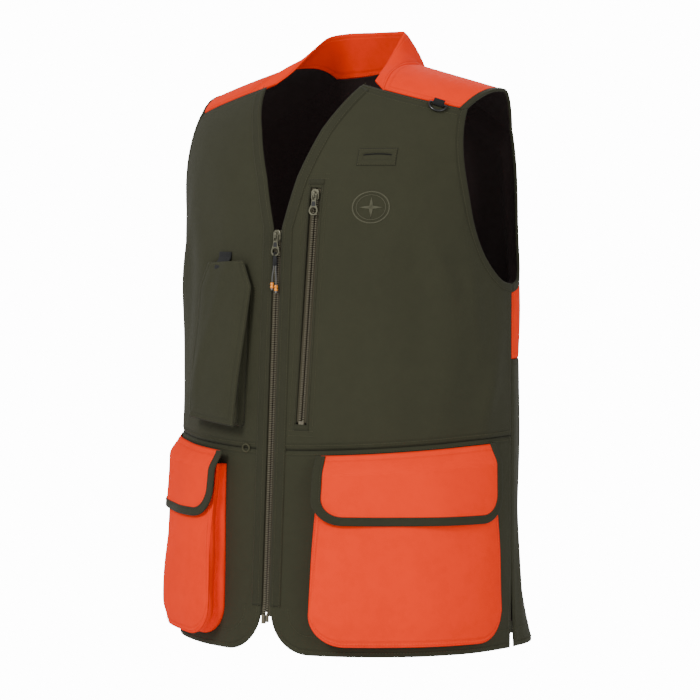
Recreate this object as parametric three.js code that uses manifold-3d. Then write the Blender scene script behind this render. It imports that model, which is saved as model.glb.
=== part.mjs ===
// Field vest with blaze orange panels, zipped shut and shaped as if worn.
// Millimetres. +Z up, front towards -Y, the wearer's left side towards +X.
// Heights are first counted from the hem; at the end the group is moved so that
// its origin is the middle of the shoulder line, where a wearer carries the vest.
import * as THREE from "three";
import { mergeVertices } from "three/addons/utils/BufferGeometryUtils.js";
import Module from "manifold-3d";

const wasm = await Module();
wasm.setup();

// ---- Driving dimensions: the body of the vest -------------------------------
const HALF_WIDTH = 217; // centre line to side seam
const FRONT_DEPTH = 185.4; // shoulder plane to the front, at the hem
const FRONT_LEAN = 0.06; // the zip line leans back by this much per mm of height
const BACK_DEPTH = 130; // shoulder plane to the back
const BACK_HOLLOW = 10; // how far the small of the back is drawn in
const HOLLOW_Z = 240;
const HOLLOW_REACH = 110;
const BACK_FLARE = 16; // how far the back hem stands out past the front skirts
const RIDGE_TOP = 703; // shoulder line, continued to the centre
const RIDGE_SLOPE = 0.27;
const RIDGE_Y = 20;
const FRONT_ROLL = 235; // height over which the chest rolls up to the shoulder line
const ROLL_SLOPE = 0.5;
const ROLL_POWER = { front: 2.5, back: 2 }; // 2 is a quarter of an ellipse, more is squarer
const BACK_ROLL = 140;
const SIDE_SEAM = 93; // degrees round from the front
const VENT_HEIGHT = 110;
const WAIST_Z = 234; // waist seam at the zip
const WAIST_RISE = 14; // how much higher it is at the side seam
const BACK_SEAM_Z = 337; // orange above, green below
const ARMHOLE_BOTTOM = 424;
const CHEST_SPLIT = 548; // above this height the chest stays with the yokes when a front swings open
const SKIRT_CORNER = 50; // radius of the front skirts' corners beside the zip

// ---- Driving dimensions: cloth and layers, as distances out from the form ----
const SHELL = 2; // shell cloth with its seams
const LAYER_GAP = 0.3; // between cloth layers that touch
const SEAM_GAP = 0.4; // between neighbouring panels
const LINING = 1.2;
const LINING_INSET = 10;
const TRIM = 0.8; // facings and bindings
const BINDING = 10; // width of the armhole and flap bindings
const FACING = 13; // width of the strip beside the zip
const POCKET_WALL = 1.5;

// ---- Driving dimensions: zips ------------------------------------------------
const ZIP_BOTTOM = 44;
const ZIP_TOP = 489;
const ZIP_GAP = 6.5; // zip centre to the cloth's edge
const CHEST_ZIP = { x0: 39, z0: 268, x1: 47, z1: 534, proud: 0 };
const CHAIN = { inner: 0.8, outer: 3.4, front: -1.2, back: 2.2 };
const TAPE = { outer: 15, front: SHELL / 2 + 1.6, back: SHELL / 2 + 2.3, end: 2 };
const SLIDER = { width: 10, height: 13, plate: 1.5, clearance: 0.4 };
const BAIL = { width: 2.2, low: 3.2, high: 9.8, bar: 1.4, reach: 4 };
const PULLER = { bar: 1, slot: 6.5, slotHalf: 1.7, neck: 3.4, ring: 6, hole: 3.6, length: 18.5, thickness: 1.6 };

// ---- Driving dimensions: pockets and fittings ---------------------------------
const LOW_POCKET = { from: 17, to: 81, bottom: 13, top: 214, corner: 36, middle: 16, zipEnd: 12, sideEnd: -3, mouth: 0.6 };
const FLAP = { from: 16, to: 82, bottom: 151, corner: 32, lift: 5.4 };
const CHEST_POCKET = { from: 10.5, to: 33, bottom: 258, shoulder: 418, top: 448, chamfer: 4.5, depth: 18, mouth: 13 };
const D_RING = { x: 160, inner: 10, wire: 1.5 };
const BADGE = { x: 112, z: 513, radius: 19, thickness: 0.6 };
const WELT = { x: 113, z: 570, width: 42, height: 20, slot: 4 };
const SIDE_RING = { phi: 9.5, z: 234, inner: 4.6, wire: 1.1 };

const colours = {
  olive: new THREE.MeshStandardMaterial({ color: 0x3b3a2c, roughness: 0.85, metalness: 0 }),
  orange: new THREE.MeshStandardMaterial({ color: 0xff4a1c, roughness: 0.7, metalness: 0 }),
  mesh: new THREE.MeshStandardMaterial({ color: 0x15120f, roughness: 0.9, metalness: 0 }),
  tape: new THREE.MeshStandardMaterial({ color: 0x454333, roughness: 0.8, metalness: 0 }),
  teeth: new THREE.MeshStandardMaterial({ color: 0x4a4838, roughness: 0.5, metalness: 0 }),
  metal: new THREE.MeshStandardMaterial({ color: 0x6a6a5c, roughness: 0.4, metalness: 0.9 }),
  black: new THREE.MeshStandardMaterial({ color: 0x141412, roughness: 0.6, metalness: 0 }),
  amber: new THREE.MeshStandardMaterial({ color: 0xf09a1e, roughness: 0.4, metalness: 0 }),
};

const { lerp, degToRad, radToDeg, smoothstep } = THREE.MathUtils;

// ---- The form the cloth lies on ------------------------------------------------

const ridgeZ = (x) => RIDGE_TOP - RIDGE_SLOPE * Math.abs(x);
const frontDepth = (z) => FRONT_DEPTH - FRONT_LEAN * z;
const hemFlare = (z) => Math.max(0, 1 - z / VENT_HEIGHT) ** 2;
const backDepth = (z) =>
  BACK_DEPTH - BACK_HOLLOW * Math.exp(-(((z - HOLLOW_Z) / HOLLOW_REACH) ** 2)) + BACK_FLARE * hemFlare(z);
const rollHeight = (x, front) => (front ? FRONT_ROLL - ROLL_SLOPE * Math.abs(x) : BACK_ROLL);
const phiAt = (x) => radToDeg(Math.asin(x / HALF_WIDTH));

// A point of the form, phi degrees round from the front towards the wearer's left.
function form(phi, z) {
  const turn = degToRad(phi);
  const front = Math.cos(turn) > 0;
  const flare = BACK_FLARE * hemFlare(z) * smoothstep(Math.sin(degToRad(phi - SIDE_SEAM)), 0, 0.7);
  const x = (HALF_WIDTH + (front ? 0 : flare)) * Math.sin(turn);
  const flat = -(front ? frontDepth(z) : backDepth(z)) * Math.cos(turn);
  const below = Math.min(1, Math.max(0, (ridgeZ(x) - z) / rollHeight(x, front)));
  const power = front ? ROLL_POWER.front : ROLL_POWER.back;
  const roll = (1 - (1 - below) ** power) ** (1 / power);
  return new THREE.Vector3(x, RIDGE_Y + (flat - RIDGE_Y) * roll, z);
}

// A point over the shoulder: turn is 0 on the shoulder line, negative to the front, in degrees.
function overShoulder(x, turn) {
  const front = turn < 0;
  const angle = degToRad(Math.abs(turn));
  const power = 2 / (front ? ROLL_POWER.front : ROLL_POWER.back);
  const z = ridgeZ(x) - rollHeight(x, front) * (1 - Math.cos(angle) ** power);
  const across = Math.sqrt(1 - (x / HALF_WIDTH) ** 2);
  const flat = (front ? -frontDepth(z) : backDepth(z)) * across;
  return new THREE.Vector3(x, RIDGE_Y + (flat - RIDGE_Y) * Math.sin(angle) ** power, z);
}

// A surface moved outwards along its own normal.
function offset(surface, a, b, out) {
  const da = surface(a + 0.1, b).sub(surface(a - 0.1, b));
  const db = surface(a, b + 0.1).sub(surface(a, b - 0.1));
  return surface(a, b).addScaledVector(da.cross(db).normalize(), out);
}

// ---- Solids made of cloth ---------------------------------------------------------

// A subdivided box whose corners (s, t, w) from 0 to 1 are moved by place().
function shaped(place, across, up, through = 1) {
  const box = new THREE.BoxGeometry(1, 1, 1, across, up, through);
  box.deleteAttribute("normal");
  box.deleteAttribute("uv");
  const geometry = mergeVertices(box);
  const corners = geometry.attributes.position;
  for (let i = 0; i < corners.count; i++) {
    const p = place(corners.getX(i) + 0.5, corners.getY(i) + 0.5, corners.getZ(i) + 0.5);
    corners.setXYZ(i, p.x, p.y, p.z);
  }
  if (volumeOf(geometry) < 0) turnInsideOut(geometry);
  geometry.computeVertexNormals();
  return geometry;
}

function volumeOf(geometry) {
  const position = geometry.attributes.position;
  const [a, b, c] = [0, 1, 2].map(() => new THREE.Vector3());
  let six = 0;
  for (let i = 0; i < geometry.index.count; i += 3) {
    [a, b, c].forEach((v, k) => v.fromBufferAttribute(position, geometry.index.getX(i + k)));
    six += a.dot(b.cross(c));
  }
  return six / 6;
}

function turnInsideOut(geometry) {
  const index = geometry.index;
  for (let i = 0; i < index.count; i += 3) {
    const second = index.getX(i + 1);
    index.setX(i + 1, index.getX(i + 2));
    index.setX(i + 2, second);
  }
}

// Straight stretches through points, t from 0 to 1 by length.
function along(points) {
  const lengths = points.slice(1).map((p, i) => Math.hypot(p[0] - points[i][0], (p[1] - points[i][1]) / 3.5));
  const total = lengths.reduce((sum, l) => sum + l, 0);
  return (t) => {
    let left = t * total;
    let i = 0;
    while (i < lengths.length - 1 && left > lengths[i]) left -= lengths[i++];
    const k = Math.min(1, left / lengths[i]);
    return [lerp(points[i][0], points[i + 1][0], k), lerp(points[i][1], points[i + 1][1], k)];
  };
}

// The same through a smooth curve over the points.
function smoothed(points, steps = 24) {
  const curve = new THREE.SplineCurve(points.map(([phi, z]) => new THREE.Vector2(phi, z)));
  return along(curve.getPoints(steps).map((p) => [p.x, p.y]));
}

// A patch of (phi, z) spanned between four edges.
function spanned({ bottom, top, left, right }) {
  const corner = [bottom(0), bottom(1), top(0), top(1)];
  return (s, t) =>
    [0, 1].map(
      (i) =>
        lerp(bottom(s)[i], top(s)[i], t) +
        lerp(left(t)[i], right(t)[i], s) -
        lerp(lerp(corner[0][i], corner[1][i], s), lerp(corner[2][i], corner[3][i], s), t),
    );
}

// Cloth on the form over a chart of (phi, z), between two distances out from it.
function cloth(chart, inner, outer, across, up, surface = form) {
  const from = typeof inner === "function" ? inner : () => inner;
  const to = typeof outer === "function" ? outer : () => outer;
  const place = (s, t, w) => offset(surface, ...chart(s, t), lerp(from(s, t), to(s, t), w));
  return shaped(place, across, up);
}

// A strip that follows a path in the chart, width mm to its left, between two distances out.
const MM_PER_DEGREE = 3.5;
function strip(path, width, inner, outer, steps, surface = form) {
  const beside = (t, w) => {
    const step = 0.004;
    const [ahead, behind] = [path(Math.min(1, t + step)), path(Math.max(0, t - step))];
    const along = new THREE.Vector2((ahead[0] - behind[0]) * MM_PER_DEGREE, ahead[1] - behind[1]).normalize();
    const [phi, z] = path(t);
    return [phi - (along.y * w) / MM_PER_DEGREE, z + along.x * w];
  };
  const place = (t, s, w) => {
    const [from, to] = [inner, outer].map((o) => (typeof o === "function" ? o(t) : o));
    return offset(surface, ...beside(t, lerp(width[0], width[1], s)), lerp(from, to, w));
  };
  return shaped(place, steps, 1);
}

// A quarter round in the chart, from one point to another, bulging towards the corner.
function rounded(from, corner, to, steps = 5) {
  const points = [];
  for (let i = 0; i <= steps; i++) {
    const angle = (Math.PI / 2) * (i / steps);
    const [a, b] = [1 - Math.sin(angle), 1 - Math.cos(angle)];
    points.push([0, 1].map((k) => corner[k] + (from[k] - corner[k]) * a + (to[k] - corner[k]) * b));
  }
  return points;
}

// ---- Seams and edges of the pattern -------------------------------------------------

const zipEdge = phiAt(ZIP_GAP);
const frontSide = SIDE_SEAM - 0.4;
const waistZ = (phi) => WAIST_Z + WAIST_RISE * smoothstep(phi, 0, SIDE_SEAM);
const yokeTurn = (x) => 31 + 0.045 * x; // the yoke's front seam, degrees down from the shoulder line
const yokeSeamZ = (x) => overShoulder(x, -yokeTurn(x)).z;
const NECK_X = 68; // where the neck edge meets the yoke seam
const YOKE_ARM_X = 188;
const BACK_ARM_X = 190;
const BACK_ARM_TURN = 50;
const BACK_NECK_X = 66;
const BACK_NECK_TURN = 25;
const backArmZ = overShoulder(BACK_ARM_X, BACK_ARM_TURN).z;

const lowered = ([phi, z], by) => [phi, z - by];

// Points (phi, share) put at heights from low, where the share is 0, to high, where it is 1.
const rising = (points, low, high) => points.map(([phi, share]) => [phi, lerp(low, high, share)]);

// The neck edge from the top of the zip to the yoke.
const neckPoints = [
  [phiAt(ZIP_GAP), 0],
  [phiAt(22), 0.35],
  [phiAt(43), 0.68],
  [phiAt(NECK_X), 1],
];
const neckEdge = rising(neckPoints, ZIP_TOP, yokeSeamZ(NECK_X));

// The armhole's edges, from the side seam up.
const frontArmPoints = [
  [SIDE_SEAM, 0],
  [84, 0.03],
  [76, 0.145],
  [70, 0.325],
  [66, 0.545],
  [62.5, 0.775],
  [phiAt(YOKE_ARM_X), 1],
];
const backArmPoints = [
  [SIDE_SEAM, 0],
  [101, 0.035],
  [109, 0.16],
  [114.5, 0.355],
  [117, 0.595],
  [118, 0.82],
  [180 - phiAt(BACK_ARM_X), 1],
];
const frontArmhole = rising(frontArmPoints, ARMHOLE_BOTTOM, yokeSeamZ(YOKE_ARM_X));
const backArmhole = rising(backArmPoints, ARMHOLE_BOTTOM, backArmZ);
const ARMHOLE_CENTRE = [91, lerp(ARMHOLE_BOTTOM, backArmZ, 0.6)];

const frontEdge = [[frontSide, ARMHOLE_BOTTOM], ...frontArmhole.slice(1, -1), lowered(frontArmhole[6], 4)];
const backEdge = [[SIDE_SEAM + 0.4, ARMHOLE_BOTTOM], ...backArmhole.slice(1, -1), lowered(backArmhole[6], 4)];

// An armhole edge moved away from the hole's centre by a number of mm, kept below the yoke.
function movedOut(edge, mm) {
  return edge.map(([phi, z], i) => {
    const away = new THREE.Vector2((phi - ARMHOLE_CENTRE[0]) * MM_PER_DEGREE, z - ARMHOLE_CENTRE[1]);
    if (i === 0) away.x = 0;
    if (i === edge.length - 1) away.y = 0;
    away.normalize().multiplyScalar(mm);
    return [phi + away.x / MM_PER_DEGREE, z + away.y];
  });
}

const atWaist = (phi, sign) => [phi, waistZ(phi) + (sign * SEAM_GAP) / 2];

function frontPanelChart() {
  const side = [atWaist(frontSide, 1), ...movedOut(frontArmhole, BINDING / 2)];
  side[1][0] = frontSide;
  const last = side[side.length - 1];
  const topX = HALF_WIDTH * Math.sin(degToRad(last[0]));
  return spanned({
    bottom: (s) => atWaist(lerp(zipEdge, frontSide, s), 1),
    top: (s) => {
      const x = lerp(NECK_X, topX, s);
      return [phiAt(x), yokeSeamZ(x) - SEAM_GAP];
    },
    left: along([atWaist(zipEdge, 1), ...neckEdge.map(([phi, z]) => [phi, z - SEAM_GAP])]),
    right: along([...side.slice(0, -1), [last[0], yokeSeamZ(topX) - SEAM_GAP]]),
  });
}

function skirtChart() {
  const inner = phiAt(ZIP_GAP);
  const cornerPhi = phiAt(ZIP_GAP + SKIRT_CORNER);
  return spanned({
    bottom: along([...rounded([inner, SKIRT_CORNER], [inner, 0], [cornerPhi, 0]), [frontSide, 0]]),
    top: (s) => atWaist(lerp(inner, frontSide, s), -1),
    left: along([[inner, SKIRT_CORNER], atWaist(inner, -1)]),
    right: along([[frontSide, 0], atWaist(frontSide, -1)]),
  });
}

// The neckline at the back, between the yokes' back seams.
const backNeckTurn = (x) => lerp(33, BACK_NECK_TURN, (Math.abs(x) / BACK_NECK_X) ** 2);
const backTopZ = (x) => {
  const out = Math.abs(x);
  const turn =
    out < BACK_NECK_X
      ? backNeckTurn(x)
      : lerp(BACK_NECK_TURN, BACK_ARM_TURN, (out - BACK_NECK_X) / (BACK_ARM_X - BACK_NECK_X));
  return overShoulder(x, turn).z;
};

// A patch of the back from low up to the yokes, with its armhole edges moved out by a number of mm.
function backChart(low, armholeOut, below) {
  const side = SIDE_SEAM + 0.4;
  const edge = movedOut(backArmhole, armholeOut);
  edge[0][0] = side;
  const lastX = HALF_WIDTH * Math.sin(degToRad(edge[edge.length - 1][0]));
  edge[edge.length - 1][1] = backTopZ(lastX) - below;
  const near = along([[side, low], ...edge]);
  const far = (t) => [360 - near(t)[0], near(t)[1]];
  return spanned({
    bottom: (s) => [lerp(side, 360 - side, s), low],
    top: (s) => {
      const x = lerp(lastX, -lastX, s);
      return [180 - phiAt(x), backTopZ(x) - below];
    },
    left: near,
    right: far,
  });
}

const backSkirtChart = (s, t) => [lerp(SIDE_SEAM + 0.4, 360 - SIDE_SEAM - 0.4, s), t * (BACK_SEAM_Z - SEAM_GAP)];

// The corners of a round outline.
function round(radius, sides, centre = 0) {
  return Array.from({ length: sides }, (_, i) => {
    const angle = (2 * Math.PI * i) / sides;
    return new THREE.Vector2(radius * Math.cos(angle), centre + radius * Math.sin(angle));
  });
}

// ---- Assembling ---------------------------------------------------------------------

const vest = new THREE.Group();
const leftSide = new THREE.Group();
const rightSide = new THREE.Group();
rightSide.scale.x = -1;
vest.add(leftSide, rightSide);

function add(parent, name, geometry, material) {
  const mesh = new THREE.Mesh(geometry, material);
  mesh.name = name;
  parent.add(mesh);
  return mesh;
}

function addPair(name, geometry, material) {
  add(leftSide, `${name}_left`, geometry, material);
  add(rightSide, `${name}_right`, geometry, material);
}

function solidFrom(geometry) {
  const plain = new THREE.BufferGeometry().setAttribute("position", geometry.getAttribute("position"));
  plain.setIndex(geometry.index);
  const merged = mergeVertices(plain, 1e-4);
  return new wasm.Manifold(
    new wasm.Mesh({
      numProp: 3,
      vertProperties: new Float32Array(merged.attributes.position.array),
      triVerts: new Uint32Array(merged.index.array),
    }),
  );
}

function geometryFrom(solid) {
  const mesh = solid.getMesh();
  const geometry = new THREE.BufferGeometry();
  geometry.setAttribute("position", new THREE.BufferAttribute(mesh.vertProperties, 3));
  geometry.setIndex(new THREE.BufferAttribute(mesh.triVerts, 1));
  geometry.computeVertexNormals();
  return geometry;
}

const joined = (...shapes) => geometryFrom(shapes.map(solidFrom).reduce((a, b) => a.add(b)));
const cut = (shape, ...tools) => geometryFrom(tools.map(solidFrom).reduce((a, b) => a.subtract(b), solidFrom(shape)));

// The parts of a front piece that swing with the front and that stay with the shoulder.
function split(shape) {
  const above = block([-400, -400, CHEST_SPLIT - SEAM_GAP / 2], [400, 400, CHEST_SPLIT + 400]);
  const below = block([-400, -400, -100], [400, 400, CHEST_SPLIT + SEAM_GAP / 2]);
  return [cut(shape, above), cut(shape, below)];
}

const mirrored = (shape) => {
  const other = shape.clone().scale(-1, 1, 1);
  turnInsideOut(other);
  return other;
};

// A box between two corners.
function block(low, high) {
  const size = high.map((h, i) => h - low[i]);
  const box = new THREE.BoxGeometry(...size);
  return box.translate(...low.map((l, i) => l + size[i] / 2));
}

// ---- Shell, lining and trim -----------------------------------------------------------

// What the armhole bindings and the opening itself take out of a panel.
const armholeTool = (edge, sign) =>
  strip(smoothed(edge), [-sign * 12, sign * (BINDING + 2 * SEAM_GAP)], -4, 4, BINDING_STEPS);
const BINDING_STEPS = 14;

function addShell() {
  const [inner, outer] = [-SHELL / 2, SHELL / 2];
  const panel = cut(cloth(frontPanelChart(), inner, outer, 8, 12), armholeTool(frontEdge, 1));
  const [low, high] = split(panel);
  add(rightSide, "front_panel_right", low, colours.olive);
  add(leftSide, "front_panel_left", cut(low, chestZipWindow()), colours.olive);
  addPair("chest_panel", high, colours.olive);
  addPair("front_skirt", cloth(skirtChart(), inner, outer, 16, 6), colours.olive);
  const back = cloth(backChart(BACK_SEAM_Z, BINDING / 2, SEAM_GAP), inner, outer, 18, 9);
  const tool = armholeTool(backEdge, -1);
  add(vest, "back_panel", cut(back, tool, mirrored(tool)), colours.orange);
  add(vest, "back_skirt", cloth(backSkirtChart, inner, outer, 18, 5), colours.olive);
}

// The yoke runs over the shoulder, from its front seam to its back seam.
function yokeChart(s, t) {
  const front = [lerp(NECK_X + COLLAR_FOOT, YOKE_ARM_X - BINDING, s), 0];
  front[1] = -yokeTurn(front[0]);
  const back = [lerp(BACK_NECK_X, BACK_ARM_X - BINDING, s), 0];
  back[1] = lerp(BACK_NECK_TURN, BACK_ARM_TURN, (back[0] - BACK_NECK_X) / (BACK_ARM_X - BACK_NECK_X));
  const turn = lerp(front[1], back[1], t);
  const bulge = 1 - (2 * t - 1) ** 2;
  const ridge = lerp(-3, 10, s) * bulge;
  return [lerp(front[0], back[0], t) + ridge, turn];
}
const COLLAR_FOOT = 26; // width of the collar's front end, along the yoke seam

function addYokes() {
  addPair("yoke", cloth(yokeChart, -SHELL / 2, SHELL / 2, 5, 8, overShoulder), colours.orange);
}

// The stand collar, from one front end round the back of the neck to the other.
function addCollar() {
  const foot = [0, 0.32, 0.65, 0.97].map((t) => {
    const [x, turn] = yokeChart(0, t);
    return overShoulder(x - 2.8, turn).add(new THREE.Vector3(0, 0, 0.6));
  });
  const backs = [44, 22, 0].map((x) => overShoulder(x, backNeckTurn(x) - 2).add(new THREE.Vector3(0, 0, 1)));
  const edge = [
    [NECK_X + 1, -57, yokeSeamZ(NECK_X) + 4],
    [64, -30, RIDGE_TOP - 27],
    [59, 2, RIDGE_TOP - 3],
    [54, 28, RIDGE_TOP + 15],
    [42, 50, RIDGE_TOP + 21],
    [22, 58, RIDGE_TOP + 22],
    [0, 60, RIDGE_TOP + 22],
  ].map((p) => new THREE.Vector3(...p));
  const around = (half) => {
    const other = half.slice(0, -1).map((p) => new THREE.Vector3(-p.x, p.y, p.z));
    return new THREE.CatmullRomCurve3([...half, ...other.reverse()], false, "centripetal");
  };
  const [low, high] = [around([...foot, ...backs]), around(edge)];
  const wall = (s, t) => low.getPoint(s).lerp(high.getPoint(s), t);
  const place = (s, t, w) => {
    const at = THREE.MathUtils.clamp(s, 0.002, 0.998);
    const da = wall(at + 0.002, t).sub(wall(at - 0.002, t));
    const db = high.getPoint(at).sub(low.getPoint(at));
    return wall(s, t).addScaledVector(da.cross(db).normalize(), (w - 0.5) * SHELL * 1.4);
  };
  add(vest, "collar", shaped(place, 28, 3), colours.orange);
}

function addLining() {
  const [inner, outer] = [-LINING_INSET - LINING, -LINING_INSET];
  const edge = movedOut(frontArmhole, BINDING + 6).slice(1);
  const neck = neckEdge.map(([phi, z]) => [phi + 4, z - 6]);
  const low = 30;
  const top = edge[edge.length - 1];
  const front = spanned({
    bottom: (s) => [lerp(neck[0][0], frontSide - 1, s), low],
    top: (s) => [lerp(neck[3][0], top[0], s), lerp(neck[3][1], top[1] - 8, s)],
    left: along([[neck[0][0], low], ...neck]),
    right: along([[frontSide - 1, low], [frontSide - 1, edge[0][1] - 12], ...edge.slice(0, -1), [top[0], top[1] - 8]]),
  });
  addPair("lining_front", split(cloth(front, inner, outer, 6, 12))[0], colours.mesh);
  add(vest, "lining_back", cloth(backChart(low, BINDING + 6, 9), inner, outer, 16, 10), colours.mesh);
}

function addBindings() {
  const thick = [-SHELL / 2 - TRIM, SHELL / 2 + TRIM];
  const edge = (points) => (t) => smoothed(points)(0.004 + 0.986 * t);
  const [low, high] = split(strip(edge(frontEdge), [0, BINDING], ...thick, BINDING_STEPS));
  addPair("armhole_binding_front", low, colours.olive);
  addPair("armhole_binding_chest", high, colours.olive);
  addPair("armhole_binding_back", strip(edge(backEdge), [0, -BINDING], ...thick, BINDING_STEPS), colours.olive);
  const top = (s, t) => {
    const [x, turn] = yokeChart(1, t);
    return [x + SEAM_GAP + s * BINDING, turn];
  };
  addPair("armhole_binding_top", cloth(top, ...thick, 1, 8, overShoulder), colours.olive);
}

// The strip that stiffens each front edge, from the hem's corner to the yoke.
function addFacings() {
  const layer = [SHELL / 2 + 3 * LAYER_GAP, SHELL / 2 + 3 * LAYER_GAP + TRIM];
  const path = along([[zipEdge, SKIRT_CORNER + 4], [zipEdge, ZIP_TOP], ...neckEdge.slice(1, -1), lowered(neckEdge[3], 4)]);
  addPair("front_facing", split(strip(path, [-0.5, -FACING], ...layer, 26))[0], colours.olive);
}

// ---- Zips -----------------------------------------------------------------------------

// A frame on the cloth: +Z up the zip, -Y out of the cloth.
function frameAt(bottom, top, outward) {
  const z = top.clone().sub(bottom).normalize();
  const y = outward.clone().addScaledVector(z, -outward.dot(z)).normalize().negate();
  const x = y.clone().cross(z);
  const group = new THREE.Group();
  new THREE.Matrix4()
    .makeBasis(x, y, z)
    .setPosition(bottom)
    .decompose(group.position, group.quaternion, group.scale);
  group.updateMatrix();
  return { group, length: top.distanceTo(bottom) };
}

const mainZip = frameAt(form(0, ZIP_BOTTOM), form(0, ZIP_TOP - 15), new THREE.Vector3(0, -1, 0));
const chestEnds = [
  [CHEST_ZIP.x0, CHEST_ZIP.z0],
  [CHEST_ZIP.x1, CHEST_ZIP.z1],
].map(([x, z]) => offset(form, phiAt(x), z, CHEST_ZIP.proud));
const chestOut = offset(form, phiAt((CHEST_ZIP.x0 + CHEST_ZIP.x1) / 2), (CHEST_ZIP.z0 + CHEST_ZIP.z1) / 2, 1).sub(
  form(phiAt((CHEST_ZIP.x0 + CHEST_ZIP.x1) / 2), (CHEST_ZIP.z0 + CHEST_ZIP.z1) / 2),
);
const chestZip = frameAt(...chestEnds, chestOut);

function chestZipWindow() {
  const window = block([-ZIP_GAP, -20, -6], [ZIP_GAP, 20, chestZip.length + 6]);
  return window.applyMatrix4(chestZip.group.matrix);
}

// One side of a chain, and its tape behind the cloth's edge.
function addChains(zip, names, length) {
  [1, -1].forEach((side, i) => {
    const half = new THREE.Group();
    half.scale.x = side;
    zip.group.add(half);
    const chain = block([CHAIN.inner, CHAIN.front, 0], [CHAIN.outer, CHAIN.back, length]);
    const tape = block([CHAIN.outer + LAYER_GAP, TAPE.front, -TAPE.end], [TAPE.outer, TAPE.back, length + TAPE.end]);
    add(half, names.chains[i], chain, colours.teeth);
    add(half, names.tapes[i], tape, colours.tape);
  });
}

// The slider's front and back plates, the web between the chains, the lips and the bail.
function sliderShape() {
  const { width, height, plate, clearance } = SLIDER;
  const frontFace = CHAIN.front - clearance;
  const backFace = TAPE.back + clearance;
  const half = width / 2;
  const web = CHAIN.inner - 0.3;
  const front = block([-half, frontFace - plate, 0], [half, frontFace, height]);
  const back = block([-half, backFace, 0], [half, backFace + plate, height]);
  const post = block([-web, frontFace - 0.1, height - 5], [web, backFace + 0.1, height]);
  const lips = [-1, 1].map((s) => {
    const edges = [s * (CHAIN.outer + clearance), s * half].sort((a, b) => a - b);
    return block([edges[0], frontFace - 0.1, 0], [edges[1], frontFace + 0.9, height]);
  });
  const { width: bail, low, high, bar, reach } = BAIL;
  const out = frontFace - plate;
  const arch = block([-bail / 2, out - reach, low], [bail / 2, out + 0.1, high]);
  const under = block([-bail, out - reach + bar * 0.75, low + bar], [bail, out - 0.05, high - bar]);
  return cut(joined(front, back, post, ...lips, arch), under);
}

const pullerAxis = [CHAIN.front - SLIDER.clearance - SLIDER.plate - 1.6, (BAIL.low + BAIL.high) / 2];

// The puller hangs from the bail by the bar at its top and ends in a ring.
function pullerShape() {
  const { bar, slot, slotHalf, neck, ring, hole, length, thickness } = PULLER;
  const outline = new THREE.Shape();
  outline.moveTo(-neck, bar);
  outline.lineTo(-neck + 0.4, -slot - 0.7);
  outline.lineTo(-ring, -length + 1);
  outline.absarc(0, -length, ring, Math.PI, 2 * Math.PI, false);
  outline.lineTo(neck - 0.4, -slot - 0.7);
  outline.lineTo(neck, bar);
  outline.closePath();
  const window = new THREE.Path([
    new THREE.Vector2(-slotHalf, -bar),
    new THREE.Vector2(-slotHalf, -slot),
    new THREE.Vector2(slotHalf, -slot),
    new THREE.Vector2(slotHalf, -bar),
  ]);
  outline.holes.push(window, new THREE.Path(round(hole, 14, -length)));
  const plate = new THREE.ExtrudeGeometry(outline, { depth: thickness, bevelEnabled: false, curveSegments: 10 });
  return plate.rotateX(Math.PI / 2).translate(0, thickness / 2, 0);
}

function addSlider(zip, top, sliderName, pullerName) {
  const carriage = new THREE.Group();
  carriage.position.z = top - SLIDER.height;
  zip.group.add(carriage);
  add(carriage, sliderName, sliderShape(), colours.metal);
  const hanging = new THREE.Group();
  hanging.position.set(0, ...pullerAxis);
  carriage.add(hanging);
  add(hanging, pullerName, pullerShape(), colours.metal);
  return hanging;
}

// Two short cords hang from the puller's ring, each ending in a bead and a tip.
const KNOT = { top: -PULLER.length - 6.4, bottom: -PULLER.length - 17, width: 5.4, depth: 3 };
const CORD = { diameter: 1.7, low: -57 };
const cordRoutes = {
  pull_cord_left: [
    [1.3, 0, -20],
    [1.4, 0, -27],
    [1.6, -0.1, -35],
    [2.1, -0.2, -42],
    [2.5, -0.1, -49],
    [2.6, 0, CORD.low],
  ],
  pull_cord_right: [
    [-1.3, 0, -20],
    [-1.4, 0, -27],
    [-1.7, -0.1, -34],
    [-2.3, -0.2, -41],
    [-2.8, -0.2, -47],
    [-3, 0, CORD.low + 3],
  ],
};

function addPullCords(hanging) {
  const { top, bottom, width, depth } = KNOT;
  const knot = new THREE.CapsuleGeometry(width / 2, top - bottom - width, 4, 12);
  knot.rotateX(Math.PI / 2).scale(1, depth / width, 1);
  knot.translate(0, 0, (top + bottom) / 2);
  add(hanging, "pull_cord_knot", knot, colours.black);
  const profile = [
    [0, 0],
    [0.9, 0.2],
    [1.1, 2.4],
    [1.3, 2.6],
    [2.2, 3.6],
    [2.2, 4.8],
    [1.4, 5.8],
    [2.2, 6.8],
    [2.2, 8],
    [1.3, 9],
    [0, 9.1],
  ].map((p) => new THREE.Vector2(...p));
  for (const [name, points] of Object.entries(cordRoutes)) {
    const route = points.map((p) => new THREE.Vector3(...p)).filter((p) => p.z < bottom - LAYER_GAP);
    route.unshift(route[0].clone().setZ(bottom - LAYER_GAP));
    const path = new THREE.CatmullRomCurve3(route);
    const section = new THREE.Shape(round(CORD.diameter / 2, 8));
    const tube = new THREE.ExtrudeGeometry(section, { steps: 9, extrudePath: path });
    add(hanging, name, tube, colours.black);
    const end = route[route.length - 1];
    const bead = new THREE.LatheGeometry(profile, 12).rotateX(Math.PI / 2);
    bead.translate(end.x, end.y, end.z - LAYER_GAP - 9.1);
    add(hanging, name.replace("pull_cord", "cord_bead"), bead, colours.amber);
  }
}

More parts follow.
